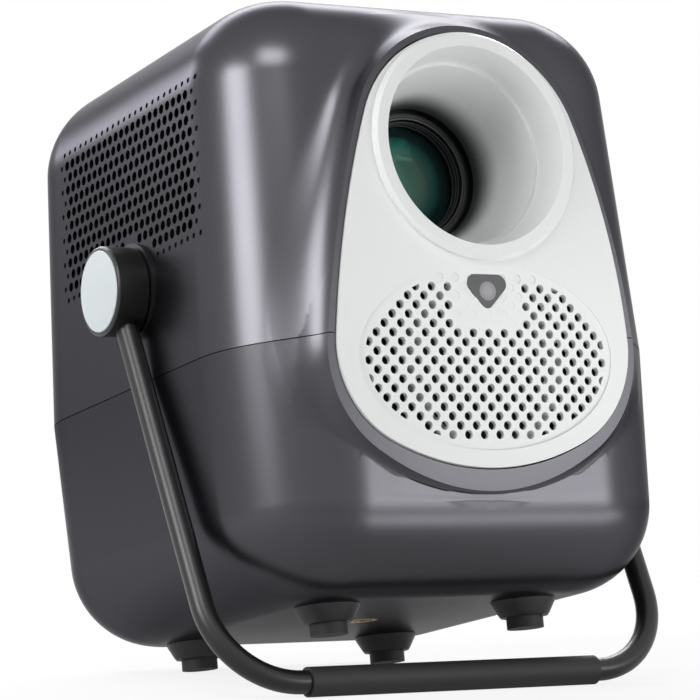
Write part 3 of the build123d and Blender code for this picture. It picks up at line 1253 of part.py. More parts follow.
def build_keys():
    foot = key_foot_z()
    for name, side in (("power_button", -1), ("play_button", 1)):
        x = side * KEY_X
        key = rod_z(KEY_RADIUS, foot, BODY_HEIGHT + KEY_PROUD, x, KEY_Y)
        key = fillet(key.faces().sort_by(Axis.Z)[-1].edges(), 0.4)
        key += rod_z(KEY_RADIUS + KEY_FLANGE, foot, foot + KEY_FLANGE_HEIGHT, x, KEY_Y)
        PARTS[name] = key
    top = key_board_top()
    PARTS["key_board"] = block(
        (-KEY_BOARD_HALF_LENGTH, KEY_BOARD_HALF_LENGTH),
        (KEY_Y - KEY_BOARD_HALF_WIDTH, KEY_Y + KEY_BOARD_HALF_WIDTH),
        (top - BOARD_THICKNESS, top),
    )


# ------------------------------------------------------------ standing pose
def standing_place():
    """Turn about X that lifts the lens, then the shift that puts the lowest
    point on z = 0 and the middle of the whole at x = y = 0."""
    lean = Rot(-STAND_TILT, 0, 0)
    boxes = [(lean * shape).bounding_box() for shape in PARTS.values()]
    low_y = min(box.min.Y for box in boxes)
    high_y = max(box.max.Y for box in boxes)
    low_z = min(box.min.Z for box in boxes)
    return Pos(0, -(low_y + high_y) / 2, -low_z) * lean


def main():
    build_casing()
    build_face()
    build_speaker()
    build_lens()
    build_engine()
    build_fan()
    build_frame()
    build_boards()
    build_sockets()
    build_bail()
    build_feet()
    build_drive()
    build_keys()
    place = standing_place()
    print("place", place)
    os.makedirs("parts", exist_ok=True)
    for name, shape in PARTS.items():
        export_step(place * shape, f"parts/{name}.step")


main()
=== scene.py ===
"""Portable projector with a disc tray: looks, light and camera around the fixed solids."""

import json
import logging
import math
from dataclasses import dataclass, field
from enum import Enum
from typing import Any, Optional, Sequence

import bmesh
import bpy
import numpy as np
from mathutils import Matrix


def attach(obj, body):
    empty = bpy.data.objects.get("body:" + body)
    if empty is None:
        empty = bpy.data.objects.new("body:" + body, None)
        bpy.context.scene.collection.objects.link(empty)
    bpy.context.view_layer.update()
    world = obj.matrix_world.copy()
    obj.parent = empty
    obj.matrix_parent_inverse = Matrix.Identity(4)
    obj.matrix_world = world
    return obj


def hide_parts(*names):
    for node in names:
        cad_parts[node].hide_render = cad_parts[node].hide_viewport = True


log = logging.getLogger("projector")
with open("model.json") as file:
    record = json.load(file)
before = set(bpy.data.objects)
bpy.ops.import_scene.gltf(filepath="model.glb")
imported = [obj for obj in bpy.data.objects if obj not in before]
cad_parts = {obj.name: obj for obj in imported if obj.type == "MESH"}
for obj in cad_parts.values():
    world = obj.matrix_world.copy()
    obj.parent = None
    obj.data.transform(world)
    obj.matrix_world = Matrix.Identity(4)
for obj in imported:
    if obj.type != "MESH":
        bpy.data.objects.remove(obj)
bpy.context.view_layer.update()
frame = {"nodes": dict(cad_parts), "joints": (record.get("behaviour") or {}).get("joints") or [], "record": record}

Colour = tuple[float, float, float]
Point = tuple[float, float, float]
Span = tuple[float, float]

TINY = 1e-9  # a length that counts as nothing
MERGE = 2e-6  # metres within which two vertices of a solid are one


# ------------------------------------------------------------------ placement
@dataclass(frozen=True)
class Standing:
    """Turns points of the upright casing, in millimetres, into the standing
    pose of the frame, in metres, and back.

    The casing leans back by `tilt` degrees about X. The shift is read from the
    bail's hinge, whose place in the casing is known.
    """

    tilt: float = 10.7
    pivot_y: float = -7.0
    pivot_z: float = 109.0

    @property
    def turn(self) -> np.ndarray:
        """Matrix of the lean: y' = y cos + z sin, z' = z cos - y sin."""
        c, s = math.cos(math.radians(self.tilt)), math.sin(math.radians(self.tilt))
        return np.array([[1, 0, 0], [0, c, s], [0, -s, c]])

    @property
    def shift(self) -> np.ndarray:
        """What is added after the lean, in millimetres."""
        hinge = next(j for j in frame["joints"] if j["name"] == "bail_swing")
        upright = np.array([0.0, self.pivot_y, self.pivot_z])
        return np.array(hinge["pos_m"]) * 1000 - self.turn @ upright

    def to_frame(self, points: np.ndarray) -> np.ndarray:
        """Upright millimetres to frame metres."""
        return (np.asarray(points, float) @ self.turn.T + self.shift) / 1000

    def to_casing(self, points: np.ndarray) -> np.ndarray:
        """Frame metres to upright millimetres."""
        return (np.asarray(points, float) * 1000 - self.shift) @ self.turn

    def direction(self, vectors: np.ndarray) -> np.ndarray:
        """Directions of the upright casing as directions of the frame."""
        return np.asarray(vectors, float) @ self.turn.T

    def back_direction(self, vectors: np.ndarray) -> np.ndarray:
        """Directions of the frame as directions of the upright casing."""
        return np.asarray(vectors, float) @ self.turn


STAND = Standing()
LENS_AXIS: Point = (0.0, 1.0, 0.0)  # upright
LENS_THROAT: Point = (0.0, -60.0, 138.0)  # upright millimetres
MIDDLE: Point = (0.0, 0.0, 0.11)  # of the standing projector, metres


# ---------------------------------------------------------------- shader maths
class Ray(Enum):
    """Kinds of ray that a Light Path node tells apart."""

    CAMERA = "Is Camera Ray"
    GLOSS = "Is Glossy Ray"
    THROUGH = "Is Transmission Ray"


class VectorStep(Enum):
    """Vector Math operations, each with the output that holds its result."""

    LESS = ("SUBTRACT", 0)
    CROSS = ("CROSS_PRODUCT", 0)
    DOT = ("DOT_PRODUCT", 1)
    LENGTH = ("LENGTH", 1)
    DISTANCE = ("DISTANCE", 1)


class Value:
    """A shader socket that can be used in ordinary arithmetic."""

    def __init__(self, graph: "Graph", socket: Any) -> None:
        """Keeps the socket and the graph that new nodes go into."""
        self.graph = graph
        self.socket = socket

    def _math(self, operation: str, first: Any, second: Any) -> "Value":
        """Adds a Math node for `operation` and returns its result."""
        return self.graph.node("ShaderNodeMath", {"operation": operation}, {0: first, 1: second})

    def __add__(self, other: Any) -> "Value":
        """self + other."""
        return self._math("ADD", self, other)

    __radd__ = __add__

    def __sub__(self, other: Any) -> "Value":
        """self - other."""
        return self._math("SUBTRACT", self, other)

    def __rsub__(self, other: Any) -> "Value":
        """other - self."""
        return self._math("SUBTRACT", other, self)

    def __mul__(self, other: Any) -> "Value":
        """self * other."""
        return self._math("MULTIPLY", self, other)

    __rmul__ = __mul__

    def __truediv__(self, other: Any) -> "Value":
        """self / other."""
        return self._math("DIVIDE", self, other)

    def __rtruediv__(self, other: Any) -> "Value":
        """other / self."""
        return self._math("DIVIDE", other, self)

    def __lt__(self, other: Any) -> "Value":
        """1 where self is below other, else 0."""
        return self._math("LESS_THAN", self, other)

    def step(self, low: float, high: float) -> "Value":
        """Smooth rise from 0 at low to 1 at high."""
        settings = {"interpolation_type": "SMOOTHSTEP"}
        return self.graph.node("ShaderNodeMapRange", settings, {0: self, 1: low, 2: high})


class Graph:
    """The node tree of one material or of the world, filled step by step."""

    def __init__(self, tree: Any) -> None:
        """Empties the tree."""
        self.tree = tree
        tree.nodes.clear()

    def node(self, kind: str, settings: Optional[dict] = None, inputs: Optional[dict] = None,
             output: Any = 0) -> Value:
        """Adds any node.

        Args:
            kind: the node's type name.
            settings: attributes that are set first; "stops" fills a ramp.
            inputs: values or links, by socket name or number.
            output: name or number of the output that is returned.

        Returns:
            The chosen output as a Value.
        """
        made = self.tree.nodes.new(kind)
        for key, value in (settings or {}).items():
            if key == "stops":
                self._fill_ramp(made.color_ramp, value)
            else:
                setattr(made, key, value)
        for key, value in (inputs or {}).items():
            self.feed(made.inputs[key], value)
        return Value(self, made.outputs[output])

    @staticmethod
    def _fill_ramp(ramp: Any, stops: Sequence[tuple[float, Colour]]) -> None:
        """Gives a colour ramp its stops.

        Args:
            ramp: the ramp, which has two stops of its own.
            stops: pairs of a place from 0 to 1 and a colour.
        """
        while len(ramp.elements) < len(stops):
            ramp.elements.new(0.5)
        for element, (place, colour) in zip(ramp.elements, stops):
            element.position = place
            element.color = (*colour, 1.0)

    def feed(self, socket: Any, value: Any) -> None:
        """Links a Value to a socket, or sets the socket's own value.

        Args:
            socket: the input.
            value: a Value, a number, a vector or a colour.
        """
        if isinstance(value, Value):
            self.tree.links.new(value.socket, socket)
            return
        triple = isinstance(value, (tuple, list)) and len(value) == 3
        if triple and len(socket.default_value) == 4:
            value = (*value, 1.0)
        socket.default_value = value

    def place(self, stretch: Point = (1.0, 1.0, 1.0)) -> Value:
        """Object coordinates, stretched by a Mapping node."""
        coordinates = self.node("ShaderNodeTexCoord", output="Object")
        inputs = {"Vector": coordinates, "Scale": stretch}
        return self.node("ShaderNodeMapping", inputs=inputs)

    def sees(self, ray: Ray) -> Value:
        """1 for rays of the given kind, else 0."""
        return self.node("ShaderNodeLightPath", output=ray.value)

    def vector(self, step: VectorStep, *inputs: Any) -> Value:
        """Adds a Vector Math node and returns its result."""
        operation, output = step.value
        sockets = dict(enumerate(inputs))
        return self.node("ShaderNodeVectorMath", {"operation": operation}, sockets, output)

    def noise(self, vector: Value, scale: float, detail: float) -> Value:
        """Noise texture's value, from 0 to 1."""
        inputs = {"Vector": vector, "Scale": scale, "Detail": detail}
        return self.node("ShaderNodeTexNoise", inputs=inputs)

    def mix(self, factor: Any, first: Any, second: Any) -> Value:
        """Blend of two colours, whose sockets on a Mix node are 6, 7 and output 2."""
        inputs = {0: factor, 6: first, 7: second}
        return self.node("ShaderNodeMix", {"data_type": "RGBA"}, inputs, 2)

    def bump(self, height: Value, depth: float, strength: float) -> Value:
        """Bump node: height times depth, in metres."""
        inputs = {"Strength": strength, "Distance": depth, "Height": height}
        return self.node("ShaderNodeBump", inputs=inputs)

    def end(self, shader: Value, kind: str = "ShaderNodeOutputMaterial") -> None:
        """Ends the graph in an output node, which the shader is linked to."""
        made = self.tree.nodes.new(kind)
        self.tree.links.new(shader.socket, made.inputs["Surface"])

    def principled(self, **inputs: Any) -> Value:
        """Principled shader; underscores in names stand for spaces."""
        named = {key.replace("_", " "): value for key, value in inputs.items()}
        return self.node("ShaderNodeBsdfPrincipled", inputs=named)


def toned(colour: Colour, factor: float) -> Colour:
    """The colour times a factor, no part above 1."""
    return tuple(min(c * factor, 1.0) for c in colour)


def about(level: float, *parts: tuple[Value, float]) -> Value:
    """Sum of noises, each times its span, whose middle is `level`.

    Args:
        level: the sum where every noise is at its middle.
        parts: pairs of a noise from 0 to 1 and its span.

    Returns:
        The sum as a Value.
    """
    total = parts[0][0] * parts[0][1]
    for noise, span in parts[1:]:
        total = total + noise * span
    return total + (level - sum(span for _, span in parts) / 2)


# --------------------------------------------------------------------- finishes
@dataclass(frozen=True)
class Finish:
    """A finish that is built once as a material and shared."""

    name: str

    def material(self) -> bpy.types.Material:
        """Returns the finish's material, building it the first time.

        Returns:
            The material, named after the finish.
        """
        title = "look_" + self.name
        found = bpy.data.materials.get(title)
        if found is not None:
            return found
        made = bpy.data.materials.new(title)
        made.use_nodes = True
        graph = Graph(made.node_tree)
        graph.end(self.shade(graph))
        return made

    def shade(self, graph: Graph) -> Value:
        """Returns the finish's shader."""
        raise NotImplementedError


@dataclass(frozen=True)
class SatinMetal(Finish):
    """Blasted and anodised metal: fine flakes vary the colour, slow clouds
    vary the roughness."""

    colour: Colour = (0.074, 0.073, 0.081)
    edge: Colour = (0.45, 0.45, 0.46)
    roughness: float = 0.29
    flake: float = 0.12
    flake_scale: float = 5200.0
    cloud_scale: float = 22.0
    grain: float = 0.000015

    def shade(self, graph: Graph) -> Value:
        """Returns metal with a coloured edge reflection."""
        place = graph.place()
        flakes = graph.noise(place, self.flake_scale, 1.0)
        clouds = graph.noise(place, self.cloud_scale, 2.0)
        dark, bright = toned(self.colour, 1 - self.flake), toned(self.colour, 1 + self.flake)
        return graph.principled(Base_Color=graph.mix(flakes, dark, bright), Metallic=1.0,
                                Roughness=about(self.roughness, (clouds, 0.05), (flakes, 0.04)),
                                Normal=graph.bump(flakes, self.grain, 0.5),
                                Specular_Tint=self.edge)


@dataclass(frozen=True)
class Moulding(Finish):
    """Moulded plastic: colour and roughness vary by a few percent over a fine
    eroded texture."""

    colour: Colour = (0.8, 0.8, 0.8)
    roughness: float = 0.4
    texture: float = 900.0
    depth: float = 0.00002
    variation: float = 0.04
    coat: float = 0.0
    coat_roughness: float = 0.15
    waves: float = 18.0

    def shade(self, graph: Graph) -> Value:
        """Returns plastic with an optional clear coat."""
        place = graph.place()
        fine = graph.noise(place, self.texture, 2.0)
        broad = graph.noise(place, self.waves, 3.0)
        low = toned(self.colour, 1 - self.variation)
        high = toned(self.colour, 1 + self.variation)
        return graph.principled(Base_Color=graph.mix(broad, low, high),
                                Roughness=about(self.roughness, (broad, 0.06), (fine, 0.04)),
                                Normal=graph.bump(fine, self.depth, 0.6),
                                Coat_Weight=self.coat, Coat_Roughness=self.coat_roughness)


@dataclass(frozen=True)
class FaceWhite(Moulding):
    """White face moulding with painted shade that darkens its funnel towards the lens ring.

    The depth along the lens axis, measured from the throat, drives the painted shade; everything more than `reach`
    metres in front of it stays white.
    """

    waves: float = 14.0
    reach: float = 0.012
    full: float = 0.95
    # painted shade: the near black colour painted into the funnel's throat
    painted_throat_shade: Colour = (0.035, 0.035, 0.036)

    def shade(self, graph: Graph) -> Value:
        """Returns white plastic with painted shade, near black, in the throat."""
        place = graph.place()
        throat, axis = tuple(STAND.to_frame(LENS_THROAT)), tuple(STAND.direction(LENS_AXIS))
        depth = graph.vector(VectorStep.DOT, graph.vector(VectorStep.LESS, place, throat), axis)
        # mask of the painted shade, rising from white to near black towards the throat
        dark = (depth + self.reach).step(0.0, self.reach * self.full)
        fine = graph.noise(place, self.texture, 2.0)
        broad = graph.noise(place, self.waves, 3.0)
        white = graph.mix(broad, toned(self.colour, 1 - self.variation), self.colour)
        return graph.principled(Base_Color=graph.mix(dark, white, self.painted_throat_shade),
                                Roughness=about(self.roughness, (broad, 0.06), (fine, 0.05)),
                                Normal=graph.bump(fine, self.depth, 0.5))


@dataclass(frozen=True)
class SmokeWindow(Finish):
    """Smoked window with a paler round lens behind it.

    The distance from the lens' centre, as a share of its radius, parts its
    pale middle, its dark rim and the smoked field.
    """

    colour: Colour = (0.085, 0.085, 0.090)
    spot: Colour = (0.30, 0.295, 0.31)
    centre: Point = (0.3, -96.0, 91.2)
    radius: float = 0.0031
    pupil: Span = (0.35, 0.8)
    rim: Span = (0.93, 1.02)
    cloudy: float = 0.85
    shaded: float = 0.8
    cloud_scale: float = 160.0
    roughness: float = 0.345
    gloss: float = 0.25

    def shade(self, graph: Graph) -> Value:
        """Returns dull dark plastic with the lens painted in."""
        place = graph.place()
        away = graph.vector(VectorStep.DISTANCE, place, tuple(STAND.to_frame(self.centre)))
        inside = 1.0 - away.step(*(self.radius * share for share in self.rim))
        middle = 1.0 - away.step(*(self.radius * share for share in self.pupil))
        clouds = graph.noise(place, self.cloud_scale, 2.0)
        smoke = graph.mix(clouds, toned(self.colour, self.cloudy), self.colour)
        lens = graph.mix(middle, toned(self.spot, self.shaded), self.spot)
        return graph.principled(Base_Color=graph.mix(inside, smoke, lens),
                                Roughness=about(self.roughness, (clouds, 0.05)),
                                Specular_IOR_Level=self.gloss)


@dataclass(frozen=True)
class CoatedGlass(Finish):
    """Lens glass with a green reflex coating over a dark barrel.

    Rings about the lens axis, placed by their share of `radius`, are a painted reflection: they shift the base
    colour from green to teal and dark towards the edge, standing in for the coating's reflex and the arcs of the
    inner elements. The coating also colours the real reflection.
    """

    tint: Colour = (0.20, 0.44, 0.36)
    reflex: Colour = (0.30, 0.75, 0.55)
    radius: float = 0.0195
    painted_reflection_rings: tuple[tuple[float, Colour], ...] = (
        (0.45, (0.26, 0.40, 0.34)), (0.62, (0.10, 0.36, 0.36)), (0.8, (0.05, 0.12, 0.12)))
    clearness: float = 0.7
    index: float = 1.62
    roughness: float = 0.035
    smear_scale: float = 60.0

    def shade(self, graph: Graph) -> Value:
        """Returns glass with the painted reflection rings in its colour."""
        place = graph.place()
        throat, axis = tuple(STAND.to_frame(LENS_THROAT)), tuple(STAND.direction(LENS_AXIS))
        offset = graph.vector(VectorStep.LESS, place, throat)
        away = graph.vector(VectorStep.LENGTH, graph.vector(VectorStep.CROSS, offset, axis))
        # painted reflection: rings of colour by distance from the lens axis
        stops = [(0.0, self.tint), *self.painted_reflection_rings]
        colour = graph.node("ShaderNodeValToRGB", {"stops": stops}, {0: away / self.radius})
        smears = graph.noise(place, self.smear_scale, 2.0)
        return graph.principled(Base_Color=colour, Roughness=about(self.roughness, (smears, 0.03)),
                                Transmission_Weight=self.clearness, IOR=self.index,
                                Specular_Tint=self.reflex)


@dataclass(frozen=True)
class Enamel(Finish):
    """Satin paint over steel, with a faint orange-peel surface and dust in it."""

    colour: Colour = (0.006, 0.006, 0.0065)
    roughness: float = 0.36
    peel: float = 0.00003
    peel_scale: float = 260.0
    speck: float = 1.35
    speck_scale: float = 1800.0
    coat: float = 0.2
    coat_roughness: float = 0.3
    gloss: float = 0.35

    def shade(self, graph: Graph) -> Value:
        """Returns coated paint over a slow ripple."""
        place = graph.place()
        ripple = graph.noise(place, self.peel_scale, 2.0)
        dust = graph.noise(place, self.speck_scale, 1.0)
        colour = graph.mix(dust, self.colour, toned(self.colour, self.speck))
        return graph.principled(Base_Color=colour, Roughness=about(self.roughness, (ripple, 0.08)),
                                Normal=graph.bump(ripple, self.peel, 0.5),
                                Coat_Weight=self.coat, Coat_Roughness=self.coat_roughness,
                                Specular_IOR_Level=self.gloss)


@dataclass(frozen=True)
class Rubber(Finish):
    """Matt rubber with a fine stipple; dust lightens it where a slow noise is
    high."""

    colour: Colour = (0.012, 0.012, 0.0125)
    dusty: Colour = (0.0304, 0.0304, 0.0315)
    roughness: float = 0.66
    stipple: float = 0.00004
    stipple_scale: float = 1500.0
    dust: float = 0.35
    dust_scale: float = 60.0
    dust_from: Span = (0.45, 0.8)

    def shade(self, graph: Graph) -> Value:
        """Returns dull rubber under a thin veil of dust."""
        place = graph.place()
        stipple = graph.noise(place, self.stipple_scale, 1.0)
        dust = graph.noise(place, self.dust_scale, 4.0).step(*self.dust_from)
        return graph.principled(Base_Color=graph.mix(dust * self.dust, self.colour, self.dusty),
                                Roughness=about(self.roughness, (dust, 0.08)),
                                Normal=graph.bump(stipple, self.stipple, 0.6))


@dataclass(frozen=True)
class Metal(Finish):
    """Bare metal with brushed streaks: noise stretched along X."""

    colour: Colour = (0.6, 0.6, 0.6)
    roughness: float = 0.3
    dull: float = 0.88
    stretch: float = 0.05
    streak_scale: float = 900.0
    depth: float = 0.00001

    def shade(self, graph: Graph) -> Value:
        """Returns metal whose streaks vary colour, roughness and height."""
        streaks = graph.noise(graph.place((self.stretch, 1.0, 1.0)), self.streak_scale, 3.0)
        colour = graph.mix(streaks, toned(self.colour, self.dull), self.colour)
        return graph.principled(Base_Color=colour, Metallic=1.0,
                                Roughness=about(self.roughness, (streaks, 0.12)),
                                Normal=graph.bump(streaks, self.depth, 0.4))


@dataclass(frozen=True)
class Board(Finish):
    """Green circuit board: lacquer over copper tracks, with pale pads.

    Tracks are the thin edges of a coarse cell pattern, and pads the middles of
    a finer one.
    """

    lacquer: Colour = (0.010, 0.075, 0.030)
    track: Colour = (0.025, 0.150, 0.060)
    pad: Colour = (0.55, 0.50, 0.35)
    track_cells: float = 260.0
    track_width: float = 0.06
    pad_cells: float = 420.0
    pad_width: float = 0.16
    pad_metal: float = 0.8
    pad_gloss: float = 0.12
    roughness: float = 0.4
    relief: float = 0.00005

    def shade(self, graph: Graph) -> Value:
        """Returns lacquer, raised over the tracks and metallic on the pads."""
        place = graph.place()
        cells = graph.node("ShaderNodeTexVoronoi", {"feature": "DISTANCE_TO_EDGE"},
                           {"Vector": place, "Scale": self.track_cells})
        tracks = cells < self.track_width
        inputs = {"Vector": place, "Scale": self.pad_cells}
        dots = graph.node("ShaderNodeTexVoronoi", inputs=inputs)
        pads = dots < self.pad_width
        colour = graph.mix(pads, graph.mix(tracks, self.lacquer, self.track), self.pad)
        return graph.principled(Base_Color=colour, Metallic=pads * self.pad_metal,
                                Roughness=self.roughness - pads * self.pad_gloss,
                                Normal=graph.bump(tracks, self.relief, 0.5))


@dataclass(frozen=True)
class Glass(Finish):
    """Clear glass with faint smears, which vary its roughness."""

    tint: Colour = (0.9, 0.95, 0.95)
    roughness: float = 0.035
    clearness: float = 0.85
    index: float = 1.5
    smear_scale: float = 45.0

    def shade(self, graph: Graph) -> Value:
        """Returns glass that carries the tint."""
        smears = graph.noise(graph.place(), self.smear_scale, 3.0)
        return graph.principled(Base_Color=self.tint, IOR=self.index,
                                Roughness=about(self.roughness, (smears, 0.03)),
                                Transmission_Weight=self.clearness)


# ------------------------------------------------------------------ mesh makers
def ring_mesh(name: str, points: np.ndarray) -> bpy.types.Mesh:
    """Mesh of quads over a grid of points that closes on itself along its
    first axis.

    Args:
        name: the mesh's name.
        points: array (round, along, 3), in metres of the frame.

    Returns:
        The mesh, with doubles merged and normals outwards.
    """
    rows, columns = points.shape[:2]
    uu, vv = np.meshgrid(np.arange(rows), np.arange(columns - 1), indexing="ij")
    here, after = uu * columns + vv, (uu + 1) % rows * columns + vv
    quads = np.stack([here, after, after + 1, here + 1], -1).reshape(-1, 4)
    mesh = bpy.data.meshes.new(name)
    mesh.vertices.add(rows * columns)
    mesh.vertices.foreach_set("co", points.reshape(-1, 3).astype(np.float32).ravel())
    mesh.loops.add(quads.size)
    mesh.loops.foreach_set("vertex_index", quads.astype(np.int32).ravel())
    mesh.polygons.add(len(quads))
    mesh.polygons.foreach_set("loop_start", np.arange(0, quads.size, 4, dtype=np.int32))
    mesh.update(calc_edges=True)
    weld(mesh, distance=1e-6, reorient=True)
    return mesh


def weld(mesh: bpy.types.Mesh, distance: float, reorient: bool, sharp: float = 35.0) -> None:
    """Merges doubles, drops what collapses and marks sharp edges.

    Args:
        mesh: the mesh to change.
        distance: how near two vertices are one, in metres.
        reorient: turns all faces outwards.
        sharp: angle in degrees above which an edge stays sharp.
    """
    work = bmesh.new()
    work.from_mesh(mesh)
    bmesh.ops.remove_doubles(work, verts=work.verts, dist=distance)
    bmesh.ops.dissolve_degenerate(work, dist=distance * 0.5, edges=work.edges)
    if reorient:
        bmesh.ops.recalc_face_normals(work, faces=work.faces)
    limit = math.radians(sharp)
    for edge in work.edges:
        edge.smooth = not (edge.is_manifold and edge.calc_face_angle(0.0) > limit)
    for face in work.faces:
        face.smooth = True
    work.to_mesh(mesh)
    work.free()


def add_piece(name: str, mesh: bpy.types.Mesh, finish: Finish, body: str,
              replaces: Sequence[str] = ()) -> bpy.types.Object:
    """Links a finished mesh into the scene as a piece of the projector.

    Args:
        name: the piece's name.
        mesh: its mesh, already in the frame.
        finish: its finish.
        body: the body it moves with.
        replaces: nodes that it stands for.

    Returns:
        The new object.
    """
    made = bpy.data.objects.new(name, mesh)
    bpy.context.scene.collection.objects.link(made)
    mesh.materials.clear()
    mesh.materials.append(finish.material())
    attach(made, body)
    if replaces:
        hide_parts(*replaces)
    return made


def rounded(profile: Sequence[Point], steps: int = 4) -> np.ndarray:
    """Profile whose corners are rounded: each is replaced by the curve
    (1 - t)^2 start + 2 t (1 - t) corner + t^2 end.

    Args:
        profile: corners as (radius from axis, place along axis, corner radius).
        steps: points in each curve.

    Returns:
        Array (n, 2) of points.
    """
    corners = np.array([p[:2] for p in profile], float)
    out = [corners[0]]
    for before, here, after, entry in zip(corners, corners[1:], corners[2:], profile[1:]):
        size = entry[2]
        a, b = before - here, after - here
        la, lb = np.linalg.norm(a), np.linalg.norm(b)
        if size <= 0 or la < TINY or lb < TINY:
            out.append(here)
            continue
        a, b = a / la, b / lb
        half = math.acos(float(np.clip(a @ b, -1, 1))) / 2
        reach = min(size / max(math.tan(half), 1e-6), la * 0.49, lb * 0.49)
        t = np.linspace(0, 1, steps)[:, None]
        start, end = here + a * reach, here + b * reach
        out.extend((1 - t) ** 2 * start + 2 * t * (1 - t) * here + t**2 * end)
    out.append(corners[-1])
    return np.array(out)


def lathe(name: str, profile: np.ndarray, segments: int = 144) -> bpy.types.Mesh:
    """Profile turned about the lens axis: each point (radius, depth) goes to
    (radius cos a, depth, axis height - radius sin a).

    Args:
        name: the mesh's name.
        profile: array (n, 2), in upright millimetres.
        segments: steps round.

    Returns:
        The closed mesh in the frame.
    """
    angle = np.linspace(0, 2 * math.pi, segments, endpoint=False)[:, None]
    radius, depth = profile.T
    depth = np.broadcast_to(depth, (segments, len(depth)))
    points = np.stack([radius * np.cos(angle), depth, LENS_THROAT[2] - radius * np.sin(angle)], -1)
    return ring_mesh(name, STAND.to_frame(points))


# --------------------------------------------------------------- casing's field
@dataclass(frozen=True)
class Teardrop:
    """Outline of the face: six convex arcs, each tangent to the next."""

    crown_z: float = 134.8
    crown_radius: float = 40.5
    flank_radius: float = 280.0
    shoulder_x: float = 20.3
    shoulder_z: float = 74.4
    shoulder_radius: float = 33.5
    foot_z: float = 36.0

    def distance(self, x: np.ndarray, z: np.ndarray, grow: np.ndarray, rise: np.ndarray,
                 drop: np.ndarray) -> np.ndarray:
        """Signed distance outside the outline.

        A point belongs to the arc in whose sector it lies, and its distance is
        its distance from that arc's centre less the arc's radius.

        Args:
            x, z: the points, in upright millimetres.
            grow: how far the whole outline is grown.
            rise: how far its crown is raised.
            drop: how far its foot is lowered.

        Returns:
            The distances, negative inside.
        """
        x = np.abs(x)
        crown = self.crown_z + rise
        rc, rs = self.crown_radius + grow, self.shoulder_radius + grow
        rf = self.flank_radius + grow
        below = self.shoulder_z - (self.foot_z - grow - drop)
        rb = (self.shoulder_x**2 + below**2 - rs**2) / (2 * (below - rs))
        foot = self.foot_z - grow - drop + rb
        to_crown, to_shoulder = rf - rc, rf - rs
        span = np.hypot(self.shoulder_x, crown - self.shoulder_z)
        along = (to_crown**2 - to_shoulder**2 + span**2) / (2 * span)
        aside = np.sqrt(to_crown**2 - along**2)
        ux, uz = self.shoulder_x / span, (self.shoulder_z - crown) / span
        fx, fz = ux * along + uz * aside, crown + uz * along - ux * aside
        crown_edge = np.arctan2(crown - fz, -fx)
        flank_edge = np.arctan2(self.shoulder_z - fz, self.shoulder_x - fx)
        foot_edge = np.arctan2(self.shoulder_z - foot, self.shoulder_x)
        at_foot = np.arctan2(z - foot, x) < foot_edge
        flank_angle = np.arctan2(z - fz, x - fx)
        out = np.hypot(x - self.shoulder_x, z - self.shoulder_z) - rs
        out = np.where(flank_angle > flank_edge, np.hypot(x - fx, z - fz) - rf, out)
        out = np.where(flank_angle > crown_edge, np.hypot(x, z - crown) - rc, out)
        return np.where(at_foot & (z < self.shoulder_z), np.hypot(x, z - foot) - rb, out)


